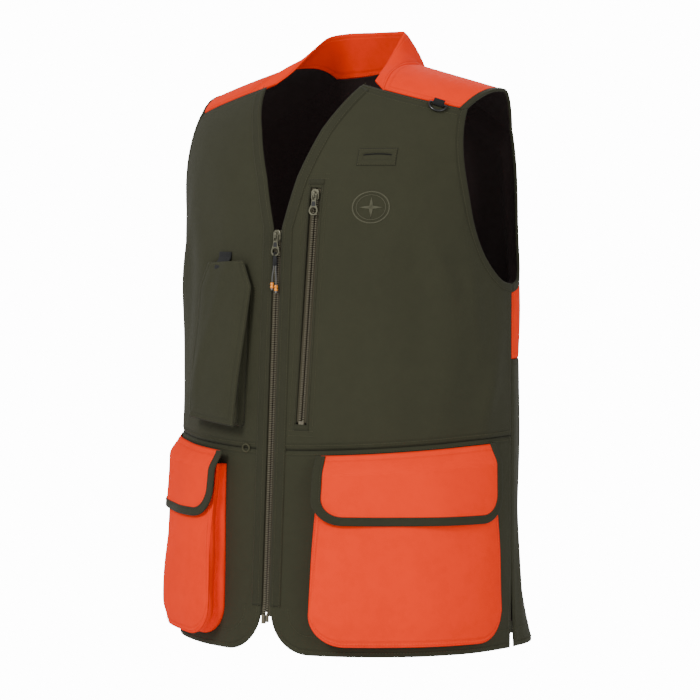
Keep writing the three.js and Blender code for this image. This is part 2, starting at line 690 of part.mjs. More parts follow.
function addZips() {
  vest.add(mainZip.group, chestZip.group);
  addChains(
    mainZip,
    { chains: ["main_zip_chain_left", "main_zip_chain_right"], tapes: ["main_zip_tape_left", "main_zip_tape_right"] },
    mainZip.length,
  );
  const hanging = addSlider(mainZip, mainZip.length + SLIDER.height, "main_zip_slider", "main_zip_puller");
  addPullCords(hanging);
  const pin = block([CHAIN.inner, CHAIN.front, -9], [CHAIN.outer, CHAIN.back, -LAYER_GAP]);
  add(mainZip.group, "zip_insertion_pin", pin, colours.teeth);
  const box = block([-5, CHAIN.front - 0.8, -11], [-CHAIN.inner, CHAIN.back + 1, -LAYER_GAP]);
  add(mainZip.group, "zip_retainer_box", cut(box, block([-20, TAPE.front - 0.4, -20], [-CHAIN.outer, TAPE.back + 0.4, 0])), colours.teeth);
  addChains(
    chestZip,
    { chains: ["chest_zip_chain_left", "chest_zip_chain_right"], tapes: ["chest_zip_tape_left", "chest_zip_tape_right"] },
    chestZip.length,
  );
  addSlider(chestZip, chestZip.length, "chest_zip_slider", "chest_zip_puller");
  const stop = block([-CHAIN.outer, CHAIN.front, -4], [CHAIN.outer, CHAIN.back, -LAYER_GAP]);
  add(chestZip.group, "chest_zip_stop", stop, colours.teeth);
  const bag = cloth(
    (s, t) => [lerp(phiAt(CHEST_ZIP.x0 - 16), phiAt(CHEST_ZIP.x0 + 95), s), lerp(CHEST_ZIP.z0 - 6, CHEST_ZIP.z1 - 60, t)],
    -LINING_INSET + 0.8,
    -LINING_INSET + 1.6,
    4,
    5,
  );
  add(leftSide, "chest_pocket_bag", bag, colours.mesh);
}

// ---- Pockets ---------------------------------------------------------------------------

// How far the bellows pocket's front stands off the form at s across and height z.
const pocketDepth = (s, z) => {
  const { middle, top, mouth } = LOW_POCKET;
  const ends = s < 0.5 ? LOW_POCKET.zipEnd : LOW_POCKET.sideEnd;
  const opened = lerp(mouth, 1, smoothstep(top - z, -10, 110));
  return (middle + ends * (2 * s - 1) ** 2) * opened;
};
const acrossPocket = (phi) => THREE.MathUtils.clamp((phi - LOW_POCKET.from) / (LOW_POCKET.to - LOW_POCKET.from), 0, 1);
const standOff = (phi, z) => pocketDepth(acrossPocket(phi), z);

// A U-shaped outline from one top end down and round to the other, with round corners.
function pocketOutline({ from, to, bottom, top, corner }, inset = 0) {
  const [left, right, low] = [from + inset / MM_PER_DEGREE, to - inset / MM_PER_DEGREE, bottom + inset];
  const radius = Math.max(6, corner - inset);
  const reach = radius / MM_PER_DEGREE;
  return [
    [left, top],
    ...rounded([left, low + radius], [left, low], [left + reach, low]),
    ...rounded([right - reach, low], [right, low], [right, low + radius]),
    [right, top],
  ];
}

// The cloth inside a U-shaped outline whose top edge follows topZ(phi).
function insideOutline(outline, topZ) {
  const low = outline.slice(1, -1);
  const [left, right] = [low[0], low[low.length - 1]];
  return spanned({
    bottom: along(low),
    top: (s) => {
      const phi = lerp(left[0], right[0], s);
      return [phi, topZ(phi)];
    },
    left: along([left, [left[0], topZ(left[0])]]),
    right: along([right, [right[0], topZ(right[0])]]),
  });
}

function addLowPockets() {
  const outline = pocketOutline(LOW_POCKET);
  const chart = insideOutline(outline, () => LOW_POCKET.top);
  const depth = (s, t) => standOff(...chart(s, t));
  addPair("pocket_front", cloth(chart, depth, (s, t) => depth(s, t) + POCKET_WALL, 12, 9), colours.orange);
  const path = along(outline);
  const gusset = strip(path, [0.3, POCKET_WALL], SHELL / 2 + LAYER_GAP, (t) => standOff(...path(t)) - 1.2, 26);
  addPair("pocket_gusset", gusset, colours.orange);
}

// The flap leaves the waist band, then lies just over the pocket's front.
const flapOut = (phi, z) => {
  const s = acrossPocket(phi);
  const below = waistZ(phi) - z;
  const away = smoothstep(below, 0, 30);
  return lerp(2.4 + 11 * (2 * s - 1) ** 2, pocketDepth(s, Math.min(z, LOW_POCKET.top)) + FLAP.lift, away);
};
const flapTop = (phi) => waistZ(phi) - 1;

function addFlaps() {
  const outer = { ...FLAP, top: 0 };
  const corners = pocketOutline(outer).slice(1, -1);
  const full = [[FLAP.from, flapTop(FLAP.from)], ...corners, [FLAP.to, flapTop(FLAP.to)]];
  const inner = pocketOutline(outer, BINDING / 2);
  const chart = insideOutline(inner, flapTop);
  const out = (s, t) => flapOut(...chart(s, t));
  const path = along(full);
  const rim = (from, to, reach, steps = 26) => {
    const lift = (t) => flapOut(...path(t));
    return strip(path, reach, (t) => lift(t) + from, (t) => lift(t) + to, steps);
  };
  const panel = cloth(chart, out, (s, t) => out(s, t) + POCKET_WALL, 10, 6);
  addPair("flap", cut(panel, rim(-4, 6, [-6, BINDING + 1.5 * SEAM_GAP])), colours.orange);
  addPair("flap_binding", rim(-TRIM / 2, POCKET_WALL + TRIM / 2, [0, BINDING]), colours.olive);
}

// The tall open-topped pocket on the right chest, with chamfered upper corners and a webbing tab.
function addChestPocket() {
  const { from, to, bottom, shoulder, top, chamfer, depth, mouth } = CHEST_POCKET;
  const outwards = (z) => lerp(depth, mouth, smoothstep(z, shoulder - 60, top));
  const bottomZ = (phi) => bottom + 0.35 * (phi - from);
  const face = spanned({
    bottom: (s) => [lerp(from, to, s), bottomZ(lerp(from, to, s))],
    top: (s) => [lerp(from + chamfer, to - chamfer, s), top],
    left: along([[from, bottom], [from, shoulder], [from + chamfer, top]]),
    right: along([[to, bottomZ(to)], [to, shoulder], [to - chamfer, top]]),
  });
  const out = (s, t) => outwards(face(s, t)[1]);
  add(rightSide, "chest_pocket_front", cloth(face, out, (s, t) => out(s, t) + POCKET_WALL, 5, 10), colours.olive);
  const path = along([
    [from + chamfer, top],
    [from, shoulder],
    [from, bottom],
    [to, bottomZ(to)],
    [to, shoulder],
    [to - chamfer, top],
  ]);
  const gusset = strip(path, [0.3, POCKET_WALL], SHELL / 2 + LAYER_GAP, (t) => outwards(path(t)[1]) - LAYER_GAP, 30);
  add(rightSide, "chest_pocket_gusset", gusset, colours.olive);
  const tab = cloth((s, t) => [lerp(18.5, 24.5, s), lerp(top - 8, top + 13, t)], 3.2, 5, 1, 2);
  add(rightSide, "chest_pocket_tab", tab, colours.black);
}

// ---- Fittings ----------------------------------------------------------------------------

// A frame on the form at (phi, z), as frameAt makes for a zip.
function frameOn(phi, z, out) {
  const outward = offset(form, phi, z, 1).sub(form(phi, z));
  const up = form(phi, z + 0.5).sub(form(phi, z - 0.5));
  const at = offset(form, phi, z, out);
  return frameAt(at, at.clone().add(up), outward).group;
}

// A wire ring with a straight bar at the top, hanging in its own frame's XZ plane.
function ringShape(inner, wire, flatten) {
  const points = [];
  const sweep = 200;
  for (let i = 0; i <= 12; i++) {
    const a = degToRad(180 + (180 - sweep) / 2 + (sweep * i) / 12);
    points.push(new THREE.Vector3(inner * Math.cos(a), 0, inner * Math.sin(a) * flatten));
  }
  const path = new THREE.CatmullRomCurve3(points, true, "centripetal");
  return new THREE.ExtrudeGeometry(new THREE.Shape(round(wire, 8)), { steps: 26, extrudePath: path });
}

function addFittings() {
  const phi = phiAt(D_RING.x);
  const shoulderRing = frameOn(phi, yokeSeamZ(D_RING.x) - 4, 3.4);
  leftSide.add(shoulderRing);
  add(shoulderRing, "shoulder_ring", ringShape(D_RING.inner, D_RING.wire, 0.85), colours.black);
  const patch = frameOn(phiAt(BADGE.x), BADGE.z, SHELL / 2 + 0.9);
  leftSide.add(patch);
  const disc = new THREE.CylinderGeometry(BADGE.radius, BADGE.radius, BADGE.thickness, 32);
  add(patch, "chest_badge", disc, colours.olive);
  addWelt();
  const sideRing = frameOn(SIDE_RING.phi, SIDE_RING.z, 3.8);
  rightSide.add(sideRing);
  add(sideRing, "side_ring", ringShape(SIDE_RING.inner, SIDE_RING.wire, 1), colours.metal);
}

// The stitched patch with a slot, on the left chest.
function addWelt() {
  const { x, z, width, height, slot } = WELT;
  const [low, high] = [SHELL / 2 + LAYER_GAP, SHELL / 2 + LAYER_GAP + TRIM];
  const across = (s, wide) => phiAt(x + (s - 0.5) * wide);
  const piece = (wide, tall, from, to) =>
    cloth((s, t) => [across(s, wide), z + (t - 0.5) * tall], from, to, 4, 1);
  const patch = piece(width, height, low, high);
  add(leftSide, "welt_patch", cut(patch, piece(width - 12, slot, low - 1, high + 1)), colours.olive);
}

addShell();
addYokes();
addCollar();
addLining();
addBindings();
addFacings();
addZips();
addLowPockets();
addFlaps();
addChestPocket();
addFittings();

vest.position.set(0, -RIDGE_Y, -RIDGE_TOP);
export default vest;
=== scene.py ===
"""A sleeveless field vest with blaze orange panels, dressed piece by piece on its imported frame.

Cloth is laid on one common form, a worn vest's outer shape, which is worked out in millimetres from the
hem. Each sub-assembly is a class that cuts its own pieces on that form, gives them their finish and hangs
them on their bodies.
"""

from __future__ import annotations

import logging
import math
from dataclasses import dataclass, field
from enum import Enum
from typing import Callable, Iterable, Sequence

import bmesh
import bpy
import numpy as np
from mathutils import Matrix, Vector


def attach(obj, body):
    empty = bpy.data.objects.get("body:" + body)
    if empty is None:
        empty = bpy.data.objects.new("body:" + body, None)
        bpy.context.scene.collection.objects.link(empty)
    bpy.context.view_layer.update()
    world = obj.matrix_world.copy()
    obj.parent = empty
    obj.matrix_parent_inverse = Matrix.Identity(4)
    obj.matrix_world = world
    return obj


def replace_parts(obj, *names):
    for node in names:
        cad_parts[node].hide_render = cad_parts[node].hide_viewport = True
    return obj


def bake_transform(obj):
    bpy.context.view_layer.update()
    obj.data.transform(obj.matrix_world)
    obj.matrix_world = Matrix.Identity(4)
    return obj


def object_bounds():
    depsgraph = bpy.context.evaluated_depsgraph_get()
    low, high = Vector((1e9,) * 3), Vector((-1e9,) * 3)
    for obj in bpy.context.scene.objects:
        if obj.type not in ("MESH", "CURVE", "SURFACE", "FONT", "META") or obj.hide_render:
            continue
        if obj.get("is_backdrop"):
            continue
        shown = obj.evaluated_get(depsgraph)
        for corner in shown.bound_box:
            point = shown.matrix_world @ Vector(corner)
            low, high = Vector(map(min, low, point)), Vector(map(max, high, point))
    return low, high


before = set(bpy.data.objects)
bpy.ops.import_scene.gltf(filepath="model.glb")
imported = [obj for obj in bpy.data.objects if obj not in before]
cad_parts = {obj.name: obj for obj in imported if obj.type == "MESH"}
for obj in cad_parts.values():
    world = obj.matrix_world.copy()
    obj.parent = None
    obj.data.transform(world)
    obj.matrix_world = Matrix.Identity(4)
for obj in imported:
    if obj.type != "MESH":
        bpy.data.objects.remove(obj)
CAD_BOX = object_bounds()

log = logging.getLogger("vest")

Array = np.ndarray
Chart = tuple[Array, Array]
Edge = Callable[[Array], Array]

MM_PER_DEGREE = 3.5
LINING_IN = 1.9


class Side(Enum):
    """The wearer's left or right."""

    LEFT = "left"
    RIGHT = "right"

    @property
    def sign(self) -> int:
        """1 for the left side and -1 for the right."""
        return 1 if self is Side.LEFT else -1

    @property
    def mirror(self) -> Array:
        """Factors that carry a point of the left side to this side."""
        return np.array([self.sign, 1, 1])


class Hang(Enum):
    """How a piece of a front is carried."""

    STIFF = "stiff"
    BENDS = "bends"


# ---- The form the cloth lies on ------------------------------------------------------------------


def smoothstep(x: Array | float, low: float, high: float) -> Array:
    """Ease from 0 where x is low to 1 where it is high."""
    t = np.clip((np.asarray(x, float) - low) / (high - low), 0, 1)
    return t * t * (3 - 2 * t)


def lerp(a: Array | float, b: Array | float, t: Array | float) -> Array:
    """Go from a to b as t goes from 0 to 1."""
    return a + (b - a) * np.asarray(t, float)


@dataclass(frozen=True)
class Fold:
    """One soft ridge or hollow of the cloth.

    Attributes:
        phi: Degrees round from the front, to the wearer's left.
        z: Height above the hem.
        long: Half length along the fold.
        wide: Half width across it.
        lean: Degrees that the fold leans from upright, towards the side.
        height: How far it stands out; negative for a hollow.
        side: The side it is on, or None for both.
    """

    phi: float
    z: float
    long: float
    wide: float
    lean: float
    height: float
    side: Side | None = None


FOLDS = (
    Fold(56, 440, 62, 15, -24, 2.6),
    Fold(48, 400, 70, 20, -12, -2.0),
    Fold(70, 390, 60, 14, -8, 2.2, Side.LEFT),
    Fold(60, 330, 60, 22, 10, 2.2, Side.LEFT),
    Fold(38, 470, 60, 22, 22, 1.8),
    Fold(30, 350, 75, 16, 6, -1.2, Side.LEFT),
    Fold(78, 300, 55, 14, 16, 2.0),
    Fold(72, 480, 40, 12, -30, -1.6),
    Fold(36, 575, 45, 18, 55, 1.4),
    Fold(52, 545, 40, 14, 62, -1.3, Side.LEFT),
    Fold(46, 280, 40, 30, 80, -1.4),
    Fold(20, 90, 60, 16, 4, -1.6),
    Fold(120, 420, 80, 18, 14, 3.2),
    Fold(136, 360, 90, 22, 6, -2.6),
    Fold(150, 480, 70, 24, -18, 2.4),
    Fold(165, 300, 80, 26, 8, 2.2),
    Fold(112, 250, 80, 16, -10, 2.6),
    Fold(128, 160, 90, 18, 3, -2.6),
    Fold(146, 130, 100, 22, -4, 3.0),
    Fold(168, 120, 90, 20, 2, -2.2),
    Fold(180, 420, 90, 30, 0, -1.8),
    Fold(104, 90, 70, 14, 2, 2.0),
    Fold(158, 590, 30, 24, 70, 1.6),
)


@dataclass(frozen=True)
class Form:
    """The outer shape of the worn vest, in millimetres from the hem.

    Attributes mirror the solid model's own sizes, so the cloth lies where the solids are.
    """

    half_width: float = 217.0
    front_depth: float = 185.4
    front_lean: float = 0.06
    back_depth: float = 130.0
    back_hollow: float = 10.0
    hollow_z: float = 240.0
    hollow_reach: float = 110.0
    back_flare: float = 16.0
    ridge_top: float = 703.0
    ridge_slope: float = 0.27
    ridge_y: float = 20.0
    front_roll: float = 235.0
    roll_slope: float = 0.5
    front_power: float = 2.5
    back_roll: float = 140.0
    side_seam: float = 93.0
    vent: float = 110.0

    def ridge(self, x: Array) -> Array:
        """Height of the shoulder line at x."""
        return self.ridge_top - self.ridge_slope * np.abs(x)

    def phi_at(self, x: float) -> float:
        """Degrees round from the front at x."""
        return math.degrees(math.asin(x / self.half_width))

    def hem_flare(self, z: Array) -> Array:
        """How much of the hem's flare is left at height z."""
        return np.maximum(0, 1 - z / self.vent) ** 2

    def depth(self, z: Array, front: Array) -> Array:
        """Depth of the form in front of or behind the shoulder plane.

        Args:
            z: Heights.
            front: Whether each point is in front.

        Returns:
            The depths, negative in front.
        """
        dip = self.back_hollow * np.exp(-(((z - self.hollow_z) / self.hollow_reach) ** 2))
        back = self.back_depth - dip + self.back_flare * self.hem_flare(z)
        return np.where(front, -(self.front_depth - self.front_lean * z), back)

    def roll(self, x: Array, front: Array) -> Array:
        """Height over which the form rolls up to the shoulder line."""
        return np.where(front, self.front_roll - self.roll_slope * np.abs(x), self.back_roll)

    def around(self, phi: Array, z: Array) -> Array:
        """A point of the form, phi degrees round from the front.

        Args:
            phi: Degrees towards the wearer's left.
            z: Heights.

        Returns:
            Points, one row of three for each pair.
        """
        phi, z = np.broadcast_arrays(np.asarray(phi, float), np.asarray(z, float))
        turn = np.radians(phi)
        front = np.cos(turn) > 0
        beyond = smoothstep(np.sin(np.radians(phi - self.side_seam)), 0, 0.7)
        flare = self.back_flare * self.hem_flare(z) * beyond
        x = (self.half_width + np.where(front, 0, flare)) * np.sin(turn)
        flat = self.depth(z, front) * np.abs(np.cos(turn))
        below = np.clip((self.ridge(x) - z) / self.roll(x, front), 0, 1)
        power = np.where(front, self.front_power, 2.0)
        rolled = (1 - (1 - below) ** power) ** (1 / power)
        return np.stack([x, self.ridge_y + (flat - self.ridge_y) * rolled, z], -1)

    def over(self, x: Array, turn: Array) -> Array:
        """A point over the shoulder; turn is 0 on the shoulder line and negative to the front.

        Args:
            x: Distance from the centre line.
            turn: Degrees.

        Returns:
            Points, one row of three for each pair.
        """
        x, turn = np.broadcast_arrays(np.asarray(x, float), np.asarray(turn, float))
        front = turn < 0
        angle = np.radians(np.abs(turn))
        power = np.where(front, 2 / self.front_power, 1.0)
        z = self.ridge(x) - self.roll(x, front) * (1 - np.cos(angle) ** power)
        across = np.sqrt(np.maximum(0, 1 - (x / self.half_width) ** 2))
        flat = self.depth(z, front) * across
        return np.stack([x, self.ridge_y + (flat - self.ridge_y) * np.sin(angle) ** power, z], -1)


FORM = Form()
SHOULDER_REST = np.array([0, FORM.ridge_y, FORM.ridge_top])


def soft_folds(phi: Array, z: Array, side: Side) -> Array:
    """How far the cloth's soft folds stand out from the form.

    Args:
        phi: Degrees round from the front.
        z: Heights.
        side: The side of the vest.

    Returns:
        Distances in millimetres.
    """
    out = np.zeros(np.broadcast(phi, z).shape)
    for fold in FOLDS:
        if fold.side not in (None, side):
            continue
        lean = math.radians(fold.lean)
        across, up = (phi - fold.phi) * MM_PER_DEGREE, z - fold.z
        along = across * math.sin(lean) + up * math.cos(lean)
        beside = across * math.cos(lean) - up * math.sin(lean)
        out = out + 1.35 * fold.height * np.exp(-((along / fold.long) ** 2) - (beside / fold.wide) ** 2)
    ripple = np.sin(phi * 0.21 + z * 0.012) * np.sin(phi * 0.09 - z * 0.021 + 1.3) * 0.7
    near_zip = smoothstep(np.abs(phi), 13.5, 22)
    near_top = 1 - smoothstep(z, 560, 620)
    near_seam = 0.35 + 0.65 * smoothstep(np.abs(phi - FORM.side_seam), 0, 9)
    spread = 7.5 * np.clip(1 - z / 170, 0, 1) ** 2 * np.exp(-(((phi - 113) / 15) ** 2))
    return (out + ripple) * near_zip * near_top * near_seam + spread


class Surface(Enum):
    """Which of the form's two charts a piece is cut on."""

    AROUND = "around"
    OVER = "over"


def normal_at(surface: Surface, a: Array, b: Array) -> Array:
    """The form's unit normals, outwards, at points of a chart.

    Args:
        surface: Which chart the points are on.
        a: Their first chart coordinate.
        b: Their second one.

    Returns:
        One normal for each point.
    """
    at = FORM.around if surface is Surface.AROUND else FORM.over
    normal = np.cross(at(a + 0.1, b) - at(a - 0.1, b), at(a, b + 0.1) - at(a, b - 0.1))
    return normal / np.linalg.norm(normal, axis=-1, keepdims=True)


def on_form(surface: Surface, a: Array, b: Array, out: Array | float, side: Side = Side.LEFT) -> Array:
    """Points lifted off the form along its normal, with the cloth's soft folds.

    Args:
        surface: The chart.
        a: First coordinate, degrees round or distance from the centre.
        b: Second coordinate, height or degrees over the shoulder.
        out: Distance out from the form.
        side: The side whose folds are used.

    Returns:
        Points in millimetres.
    """
    at = FORM.around if surface is Surface.AROUND else FORM.over
    a, b = np.broadcast_arrays(np.asarray(a, float), np.asarray(b, float))
    lift = np.asarray(out, float)
    if surface is Surface.AROUND:
        lift = lift + soft_folds(np.where(a > 180, 360 - a, a), b, side)
    return at(a, b) + normal_at(surface, a, b) * np.broadcast_to(lift, a.shape)[..., None]


# ---- Edges and charts ----------------------------------------------------------------------------


def along(points: Sequence[Sequence[float]]) -> Edge:
    """A path through chart points, by length from 0 to 1.

    Args:
        points: Pairs of chart coordinates.

    Returns:
        A function from shares of the length to pairs.
    """
    p = np.asarray(points, float)
    step = np.hypot(np.diff(p[:, 0]), np.diff(p[:, 1]) / MM_PER_DEGREE)
    at = np.concatenate([[0], np.cumsum(step)]) / step.sum()
    return lambda t: np.stack([np.interp(t, at, p[:, 0]), np.interp(t, at, p[:, 1])], -1)


def curve_point(p: Array, i: int, k: float) -> Array:
    """A point of the smooth curve through a list, a share k from its point i + 1 to its point i + 2."""
    a, b, c, d = p[i : i + 4]
    return 0.5 * (2 * b + (c - a) * k + (2 * a - 5 * b + 4 * c - d) * k**2 + (3 * b - a - 3 * c + d) * k**3)


def smoothed(points: Sequence[Sequence[float]], steps: int = 120) -> Edge:
    """A smooth path through chart points.

    Args:
        points: Pairs of chart coordinates.
        steps: How many pieces the curve is cut into.

    Returns:
        A function from shares of the length to pairs.
    """
    p = np.asarray(points, float)
    p = np.vstack([2 * p[0] - p[1], p, 2 * p[-1] - p[-2]])
    out = []
    for u in np.linspace(0, len(points) - 1, steps + 1):
        i = min(int(u), len(points) - 2)
        out.append(curve_point(p, i, u - i))
    return along(out)


def straight(start: Sequence[float], end: Sequence[float]) -> Edge:
    """A straight path between two chart points."""
    return lambda t: lerp(np.asarray(start, float), np.asarray(end, float), np.asarray(t)[..., None])


def spanned(bottom: Edge, top: Edge, left: Edge, right: Edge) -> Callable[[Array, Array], Chart]:
    """A patch of a chart spanned between four edges.

    Args:
        bottom: Lower edge, from left to right.
        top: Upper edge, from left to right.
        left: Left edge, upwards.
        right: Right edge, upwards.

    Returns:
        A function from shares across and up to chart coordinates.
    """

    def chart(s: Array, t: Array) -> Chart:
        """Chart coordinates at a share across and a share up."""
        ss, tt = np.meshgrid(s, t)
        low, high, near, far = bottom(s)[None], top(s)[None], left(t)[:, None], right(t)[:, None]
        s3, t3 = ss[..., None], tt[..., None]
        corners = lerp(lerp(bottom(np.array(0.0)), bottom(np.array(1.0)), s3),
                       lerp(top(np.array(0.0)), top(np.array(1.0)), s3), t3)
        both = lerp(low, high, t3) + lerp(near, far, s3) - corners
        return both[..., 0], both[..., 1]

    return chart


def shares(count: int, lip: float = 0.004) -> Array:
    """Even shares from 0 to 1, with one more a lip away from each end so that an edge can round off."""
    even = np.linspace(0, 1, count + 1)
    return np.concatenate([[0, lip], even[1:-1], [1 - lip, 1]])


def beside(path: Edge, t: Array, mm: Array | float) -> Chart:
    """Points to the left of a path by a number of millimetres.

    Args:
        path: The path.
        t: Shares along it.
        mm: Distance to the left.

    Returns:
        Chart coordinates.
    """
    step = 0.004
    ahead, behind = path(np.minimum(1, t + step)), path(np.maximum(0, t - step))
    dx = (ahead[..., 0] - behind[..., 0]) * MM_PER_DEGREE
    dz = ahead[..., 1] - behind[..., 1]
    size = np.hypot(dx, dz)
    at = path(t)
    return at[..., 0] - dz / size * mm / MM_PER_DEGREE, at[..., 1] + dx / size * mm


def offset(surface: Surface, path: Edge, t: Array, mm: Array | float) -> Chart:
    """Points to the left of a path by a number of millimetres, on either chart.

    Args:
        surface: Which chart the path is on.
        path: The path.
        t: Shares along it.
        mm: Distance to the left.

    Returns:
        The two chart coordinates of each point.
    """
    if surface is Surface.AROUND:
        return beside(path, t, mm)
    at = path(t)
    return at[..., 0] + mm, at[..., 1]


def rounded(start: Sequence[float], corner: Sequence[float], end: Sequence[float],
            steps: int = 12) -> list[Array]:
    """A quarter round in the chart that bulges towards a corner.

    Args:
        start: First point.
        corner: The corner it rounds.
        end: Last point.
        steps: How many pieces it has.

    Returns:
        The points.
    """
    start, corner, end = (np.asarray(p, float) for p in (start, corner, end))
    angles = np.linspace(0, math.pi / 2, steps + 1)
    first, last = start - corner, end - corner
    return [corner + first * (1 - math.sin(a)) + last * (1 - math.cos(a)) for a in angles]


# ---- Meshes --------------------------------------------------------------------------------------


def to_model(points: Array) -> Array:
    """Millimetres from the hem to metres from the shoulder rest."""
    return (np.asarray(points, float) - SHOULDER_REST) / 1000


def in_scene(name: str, data: bpy.types.ID) -> bpy.types.Object:
    """A new object of the scene that holds a mesh, a camera or a light."""
    made = bpy.data.objects.new(name, data)
    bpy.context.scene.collection.objects.link(made)
    return made


def new_piece(
    name: str,
    points: Array,
    faces: Iterable[Sequence[int]],
    finish: "Finish",
    uv: Array | None = None,
    seam: Array | None = None,
    side: Side = Side.LEFT,
) -> bpy.types.Object:
    """A mesh object from points in millimetres, mirrored for the right side.

    Args:
        name: The object's name.
        points: Points in millimetres from the hem, laid out for the left side.
        faces: Corner indices of each face.
        finish: What it is made of.
        uv: Cloth coordinates in metres, one pair for each point.
        seam: Distance in metres from each point to the nearest seam.
        side: The side it is for.

    Returns:
        The new object.
    """
    where = to_model(points).reshape(-1, 3)
    faces = [tuple(int(i) for i in f) for f in faces]
    if side is Side.RIGHT:
        where = where * side.mirror
        faces = [f[::-1] for f in faces]
    mesh = bpy.data.meshes.new(name)
    mesh.from_pydata(where.tolist(), [], faces)
    mesh.polygons.foreach_set("use_smooth", [True] * len(mesh.polygons))
    if uv is not None:
        corner = np.empty(len(mesh.loops), dtype=np.int64)
        mesh.loops.foreach_get("vertex_index", corner)
        layer = mesh.uv_layers.new(name="Cloth")
        layer.data.foreach_set("uv", np.asarray(uv, np.float32).reshape(-1, 2)[corner].ravel())
    if seam is not None:
        attribute = mesh.attributes.new("seam", "FLOAT", "POINT")
        attribute.data.foreach_set("value", np.asarray(seam, np.float32).ravel())
    mesh.update()
    return finish.dress(in_scene(name, mesh))


def grid_faces(rows: int, cols: int, start: int = 0, flip: bool = False) -> list[tuple[int, int, int, int]]:
    """The quads of a grid of points.

    Args:
        rows: Points up.
        cols: Points across.
        start: Index of the first point.
        flip: Whether the faces look the other way.

    Returns:
        The corner indices.
    """
    faces = []
    for i in range(rows - 1):
        for j in range(cols - 1):
            a = start + i * cols + j
            quad = (a, a + 1, a + cols + 1, a + cols)
            faces.append(quad[::-1] if flip else quad)
    return faces


def rim_loop(rows: int, cols: int) -> list[int]:
    """Indices of a grid's border points, anticlockwise."""
    low = list(range(cols))
    right = [i * cols + cols - 1 for i in range(1, rows)]
    high = [(rows - 1) * cols + j for j in range(cols - 2, -1, -1)]
    left = [i * cols for i in range(rows - 2, 0, -1)]
    return low + right + high + left


def shell(
    name: str,
    outer: Array,
    inner: Array,
    finish: "Finish",
    uv: Array | None = None,
    seam: Array | None = None,
    side: Side = Side.LEFT,
) -> bpy.types.Object:
    """A closed piece of cloth between an outer and an inner grid of points.

    Args:
        name: The piece's name.
        outer: Outer points, rows by columns by three.
        inner: Inner points, the same shape.
        finish: What it is made of.
        uv: Cloth coordinates, rows by columns by two.
        seam: Distances to the nearest seam, rows by columns.
        side: The side it is for.

    Returns:
        The piece.
    """
    rows, cols = outer.shape[:2]
    count = rows * cols
    faces = grid_faces(rows, cols) + grid_faces(rows, cols, count, True)
    rim = rim_loop(rows, cols)
    for a, b in zip(rim, rim[1:] + rim[:1]):
        faces.append((b, a, a + count, b + count))
    points = np.concatenate([outer.reshape(-1, 3), inner.reshape(-1, 3)])
    if uv is not None:
        uv = np.concatenate([uv.reshape(-1, 2)] * 2)
    if seam is not None:
        seam = np.concatenate([seam.ravel()] * 2)
    return new_piece(name, points, faces, finish, uv, seam, side)


def edge_gaps(a: Array, b: Array, scale: float = MM_PER_DEGREE) -> tuple[Array, Array, Array, Array]:
    """Distance in millimetres of each point of a chart from its left, right, bottom and top edges."""
    left = np.hypot((a - a[:, :1]) * scale, b - b[:, :1])
    right = np.hypot((a - a[:, -1:]) * scale, b - b[:, -1:])
    low = np.hypot((a - a[:1]) * scale, b - b[:1])
    high = np.hypot((a - a[-1:]) * scale, b - b[-1:])
    return left, right, low, high


@dataclass(frozen=True)
class Cut:
    """How a piece of cloth is finished at its edges.

    Attributes:
        half: Half its thickness.
        puff: How far it swells away from its seams.
        reach: Distance from the seam over which it swells.
        seams: Which of left, right, low and high are seams.
    """

    half: float = 0.9
    puff: float = 0.9
    reach: float = 9.0
    seams: str = "lrbt"


def cloth(
    name: str,
    chart: Chart,
    finish: "Finish",
    side: Side = Side.LEFT,
    out: Array | float = 0.0,
    cut: Cut = Cut(),
    surface: Surface = Surface.AROUND,
) -> bpy.types.Object:
    """A piece of cloth laid on the form.

    Args:
        name: The piece's name.
        chart: Chart coordinates, rows by columns.
        finish: What it is made of.
        side: The side it is for.
        out: Distance of its middle out from the form.
        cut: How its edges are finished.
        surface: Which chart it is cut on.

    Returns:
        The piece.
    """
    a, b = chart
    scale, rise = (MM_PER_DEGREE, 1.0) if surface is Surface.AROUND else (1.0, 2.4)
    gaps = dict(zip("lrbt", edge_gaps(a, b * rise, scale)))
    used = [gaps[k] for k in cut.seams] or [np.full(a.shape, 60.0)]
    seam = np.minimum.reduce(used)
    border = np.minimum.reduce(list(gaps.values()))
    swell = cut.puff * (smoothstep(seam, 0, cut.reach) - 1)
    half = cut.half * (0.35 + 0.65 * smoothstep(border, -0.01, 0.6))
    middle = np.asarray(out, float) + np.zeros(a.shape)
    outer = on_form(surface, a, b, middle + half + swell, side)
    inner = on_form(surface, a, b, middle - half, side)
    uv = np.stack([a * scale, b * rise], -1) / 1000
    return shell(name, outer, inner, finish, uv, seam / 1000, side)


def strip(
    name: str,
    path: Edge,
    profile: Sequence[Sequence[float]],
    steps: int,
    finish: "Finish",
    side: Side = Side.LEFT,
    out: Callable[[Array], Array] | None = None,
    surface: Surface = Surface.AROUND,
    narrow: tuple[float, float] = (1.0, 1.0),
) -> bpy.types.Object:
    """A closed profile carried along a path on the form.

    Args:
        name: The piece's name.
        path: The path.
        profile: Pairs of distance to the left and distance out, anticlockwise seen along the path.
        steps: How many steps along the path.
        finish: What it is made of.
        side: The side it is for.
        out: Extra distance out at each share of the path.
        surface: Which chart the path is on.
        narrow: Share of the profile's width at the path's start and end.

    Returns:
        The piece.
    """
    t = np.linspace(0, 1, steps + 1)
    wide = lerp(narrow[0], narrow[1], t)
    p = np.asarray(profile, float)
    extra = out(t) if out else np.zeros(steps + 1)
    points = np.empty((steps + 1, len(p), 3))
    for j, (mm, lift) in enumerate(p):
        a, b = offset(surface, path, t, mm * wide)
        points[:, j] = on_form(surface, a, b, lift + extra, side)
    return swept(name, points, finish, side)


